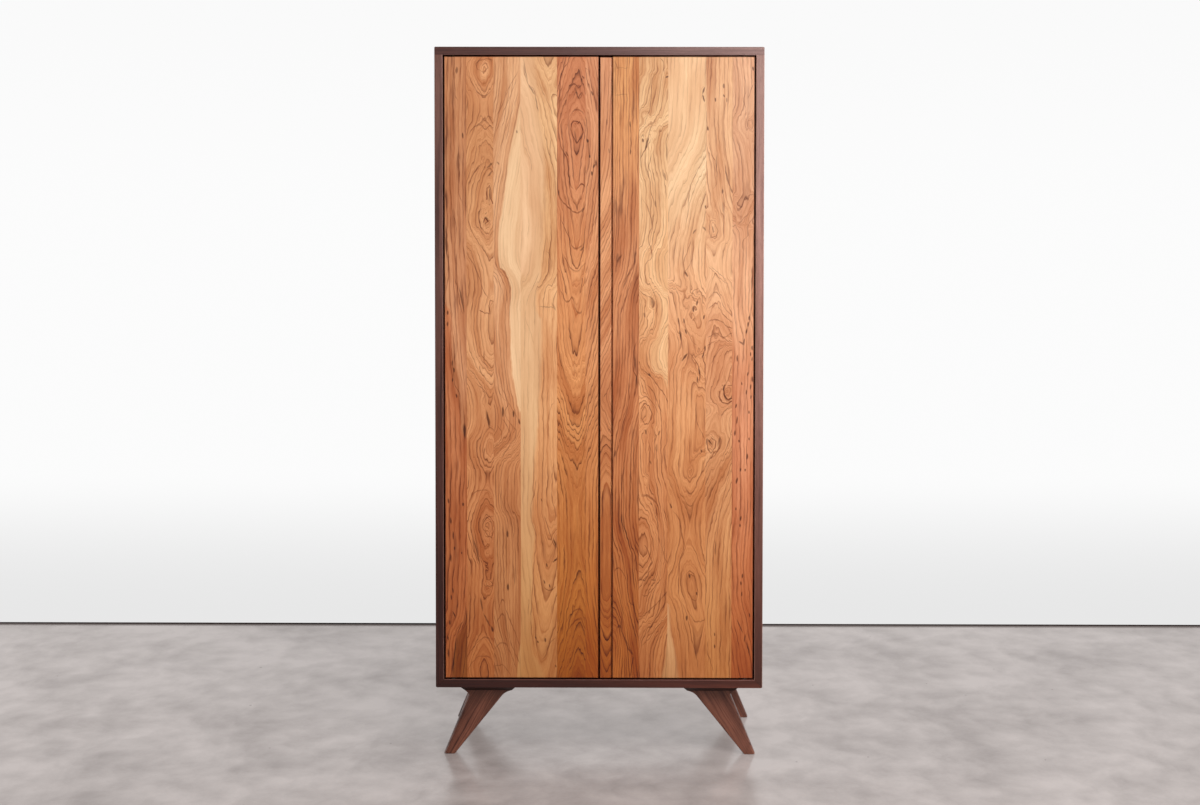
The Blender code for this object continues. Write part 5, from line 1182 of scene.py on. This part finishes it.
for side_name, side in (("left", -1), ("right", 1)):
    door = side_name + "_door"
    stem = door + "_"
    leaves = [("top_case", INSIDE_TOP / MM, DOWN, 20, "case"),
              ("bottom_case", INSIDE_FLOOR / MM, UP, 55, "case"),
              ("top_leaf", DOOR_TOP, UP, 35, door), ("bottom_leaf", DOOR_FOOT, DOWN, 75, door)]
    for number, share in enumerate(LEAF_SCREWS, 1):
        x = side * (PIVOT[0] - LEAF_LENGTH * share)
        for spot, height, facing, turn, body in leaves:
            screw(stem + spot + "_screw_" + str(number), "sunk", (x, PIVOT[1], height), facing,
                  turn * number, body)
    latch_low, latch_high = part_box(stem + "latch_housing")
    for number, (share, edge) in enumerate(((0.22, -1), (0.22, 1), (0.78, -1), (0.78, 1)), 1):
        middle = (latch_low.x + latch_high.x) / 2
        place = (middle + edge * LATCH_SCREW_OUT, latch_low.y + (latch_high.y - latch_low.y) * share,
                 LATCH_FLANGE)
        screw(stem + "latch_screw_" + str(number), "pan", place, DOWN, 40 * number, "case")
    strike_low, strike_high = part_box(stem + "latch_strike")
    place = ((strike_low.x + strike_high.x) / 2, strike_high.y, (strike_low.z + strike_high.z) / 2)
    screw(stem + "strike_screw", "small", place, BACK, 30, door)
    for end in ("front", "rear"):
        plate_low, plate_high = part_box(side_name + "_" + end + "_plate")
        for number, x in enumerate((plate_low.x + PLATE_SCREW_IN, plate_high.x - PLATE_SCREW_IN), 1):
            place = (x, (plate_low.y + plate_high.y) / 2, plate_low.z)
            screw(side_name + "_" + end + "_plate_screw_" + str(number), "round", place, DOWN,
                  25 + 50 * number, "case")


def make_sheet(name, near, far, rise=0):
    """A sheet right across the studio, from one distance to another."""
    mesh = bpy.data.meshes.new(name)
    mesh.from_pydata([(-FLOOR_HALF, near, 0), (FLOOR_HALF, near, 0),
                      (FLOOR_HALF, far, rise), (-FLOOR_HALF, far, rise)], [], [(0, 1, 2, 3)])
    made = bpy.data.objects.new(name, mesh)
    scene.collection.objects.link(made)
    return made


def seen_by_camera(tree):
    """1 for rays from the camera, also by way of a mirror or glass, and 0 for light that falls."""
    path = tree.nodes.new("ShaderNodeLightPath")
    seen = None
    for kind in ("Camera", "Glossy", "Transmission"):
        seen = joined("MAXIMUM", seen, Field(tree, path.outputs["Is " + kind + " Ray"]))
    return seen


def add_glow(m, share, name, value):
    """Mixes a light of its own into a surface; name is that of the glow's colour or strength."""
    glow = m.tree.nodes.new("ShaderNodeEmission")
    put(m.tree, glow.inputs[name], value)
    both = m.tree.nodes.new("ShaderNodeMixShader")
    put(m.tree, both.inputs[0], share)
    m.tree.links.new(m.shader.outputs[0], both.inputs[1])
    m.tree.links.new(glow.outputs[0], both.inputs[2])
    m.tree.links.new(both.outputs[0], m.tree.nodes["Material Output"].inputs[0])


def make_floor():
    """Pale polished concrete, which ends in a painted shadow line with white paper beyond it."""
    made = make_sheet("floor", -FLOOR_HALF, FLOOR_END)
    m = Finish("floor_grey")
    cloud = m.noise(m.x / 290, m.y / 380, 3.0, 4.0)
    drift = m.noise(m.x / 1500, m.y / 1900, 8.0, 1.0)
    stain = m.noise(m.x / 95 + cloud * 2.0, m.y / 130, 7.0, 3.0)
    grit = m.noise(m.x / 9, m.y / 9, 5.0, 1.0)
    specks = m.noise(m.x / 17, m.y / 24, 11.0, 0.0).ramp(0.37, 0.41)
    # A painted shadow line along the floor's end, where the paper meets it.
    line = m.y.ramp(*(FLOOR_END * MM + place for place in FLOOR_SHADOW_LINE))
    mottle = (cloud * 1.7 + stain * 1.5 + drift * 0.9 + grit * 0.2 + 0.42).clamped()

    def shaded(base, dark):
        shade = m.blend(mottle, rgb(*base), rgb(*dark))
        shade = m.blend(specks * 0.5, shade, rgb(*FLOOR_STAIN))
        return m.blend(line * 0.75, shade, rgb(*FLOOR_END_SHADOW))

    m.set("Base Color", shaded(*FLOOR_SHADES))
    m.set("Roughness", (cloud + stain * 0.6).ramp(-0.4, 0.4, 0.13, 0.24))
    m.set("Specular IOR Level", 0.62)
    m.bump(grit, 0.10)
    add_glow(m, seen_by_camera(m.tree) * FLOOR_GLOW, "Color", shaded(*FLOOR_GLOW_SHADES))
    made.data.materials.append(m.material)


def make_paper():
    """The pale sheet on the floor behind the cabinet, which looks like the backdrop beyond it."""
    made = make_sheet("paper", FLOOR_END, FLOOR_HALF)
    m = Finish("paper_white")
    m.set("Base Color", rgb(*PAPER_SHADE))
    m.set("Roughness", 0.8)
    add_glow(m, seen_by_camera(m.tree), "Strength",
             m.y.ramp(FLOOR_END * MM, PAPER_FULL_FROM * MM, PAPER_NEAR, PAPER))
    made.data.materials.append(m.material)
    # A low dark strip at the paper's edge: painted shadow, where the paper meets the floor.
    shadow_lip = make_sheet("paper_edge", FLOOR_END, FLOOR_END, LIP)
    edge = Finish("paper_edge_painted_shadow")
    uneven = edge.noise(edge.x / 40, 0.0, 2.0, 1.0) + 0.5
    edge.set("Base Color", edge.blend(uneven, *(rgb(*shade) for shade in PAINTED_SHADOW_LIP_SHADES)))
    edge.set("Specular IOR Level", 0.1)
    shadow_lip.data.materials.append(edge.material)


def make_lamp(name, place, aim, width, height, power):
    data = bpy.data.lights.new(name, "AREA")
    data.shape = "RECTANGLE"
    data.size = width
    data.size_y = height
    data.energy = power
    lamp = bpy.data.objects.new(name, data)
    lamp.location = place
    lamp.rotation_mode = "QUATERNION"
    lamp.rotation_quaternion = (Vector(aim) - lamp.location).to_track_quat("-Z", "Y")
    lamp.visible_camera = False
    scene.collection.objects.link(lamp)


def make_world():
    """Dim in front of the cabinet and white behind it, as in a studio with a paper roll."""
    world = bpy.data.worlds.new("studio")
    world.use_nodes = True
    scene.world = world
    tree = world.node_tree
    background = tree.nodes["Background"]
    background.inputs["Color"].default_value = (1, 1, 1, 1)
    where = tree.nodes.new("ShaderNodeTexCoord")
    ahead, up = split(tree, where.outputs["Generated"])[1:]
    seen = seen_by_camera(tree)
    paper = up.ramp(0.0, 0.12, PAPER, PAPER_ABOVE)
    behind = ahead.ramp(-0.25, 0.20)
    shown = behind * (paper - FRONT_DIM) + FRONT_DIM
    cast = behind * (BACK_CAST - FRONT_DIM) + FRONT_DIM
    put(tree, background.inputs["Strength"], (shown - cast) * seen + cast)


make_camera()
make_floor()
make_paper()
make_world()
make_lamp("key", (1.9, -2.8, 3.2), (0.0, -0.2, 1.1), 2.8, 2.0, 142)
make_lamp("window", (1.9, -6.5, 2.8), (0.1, -0.25, 1.2), 2.0, 2.0, 75)
make_lamp("left_strip", (-3.6, -0.3, 1.3), (-0.4, -0.2, 0.9), 1.2, 2.2, 22)
scene.view_settings.view_transform = "Standard"
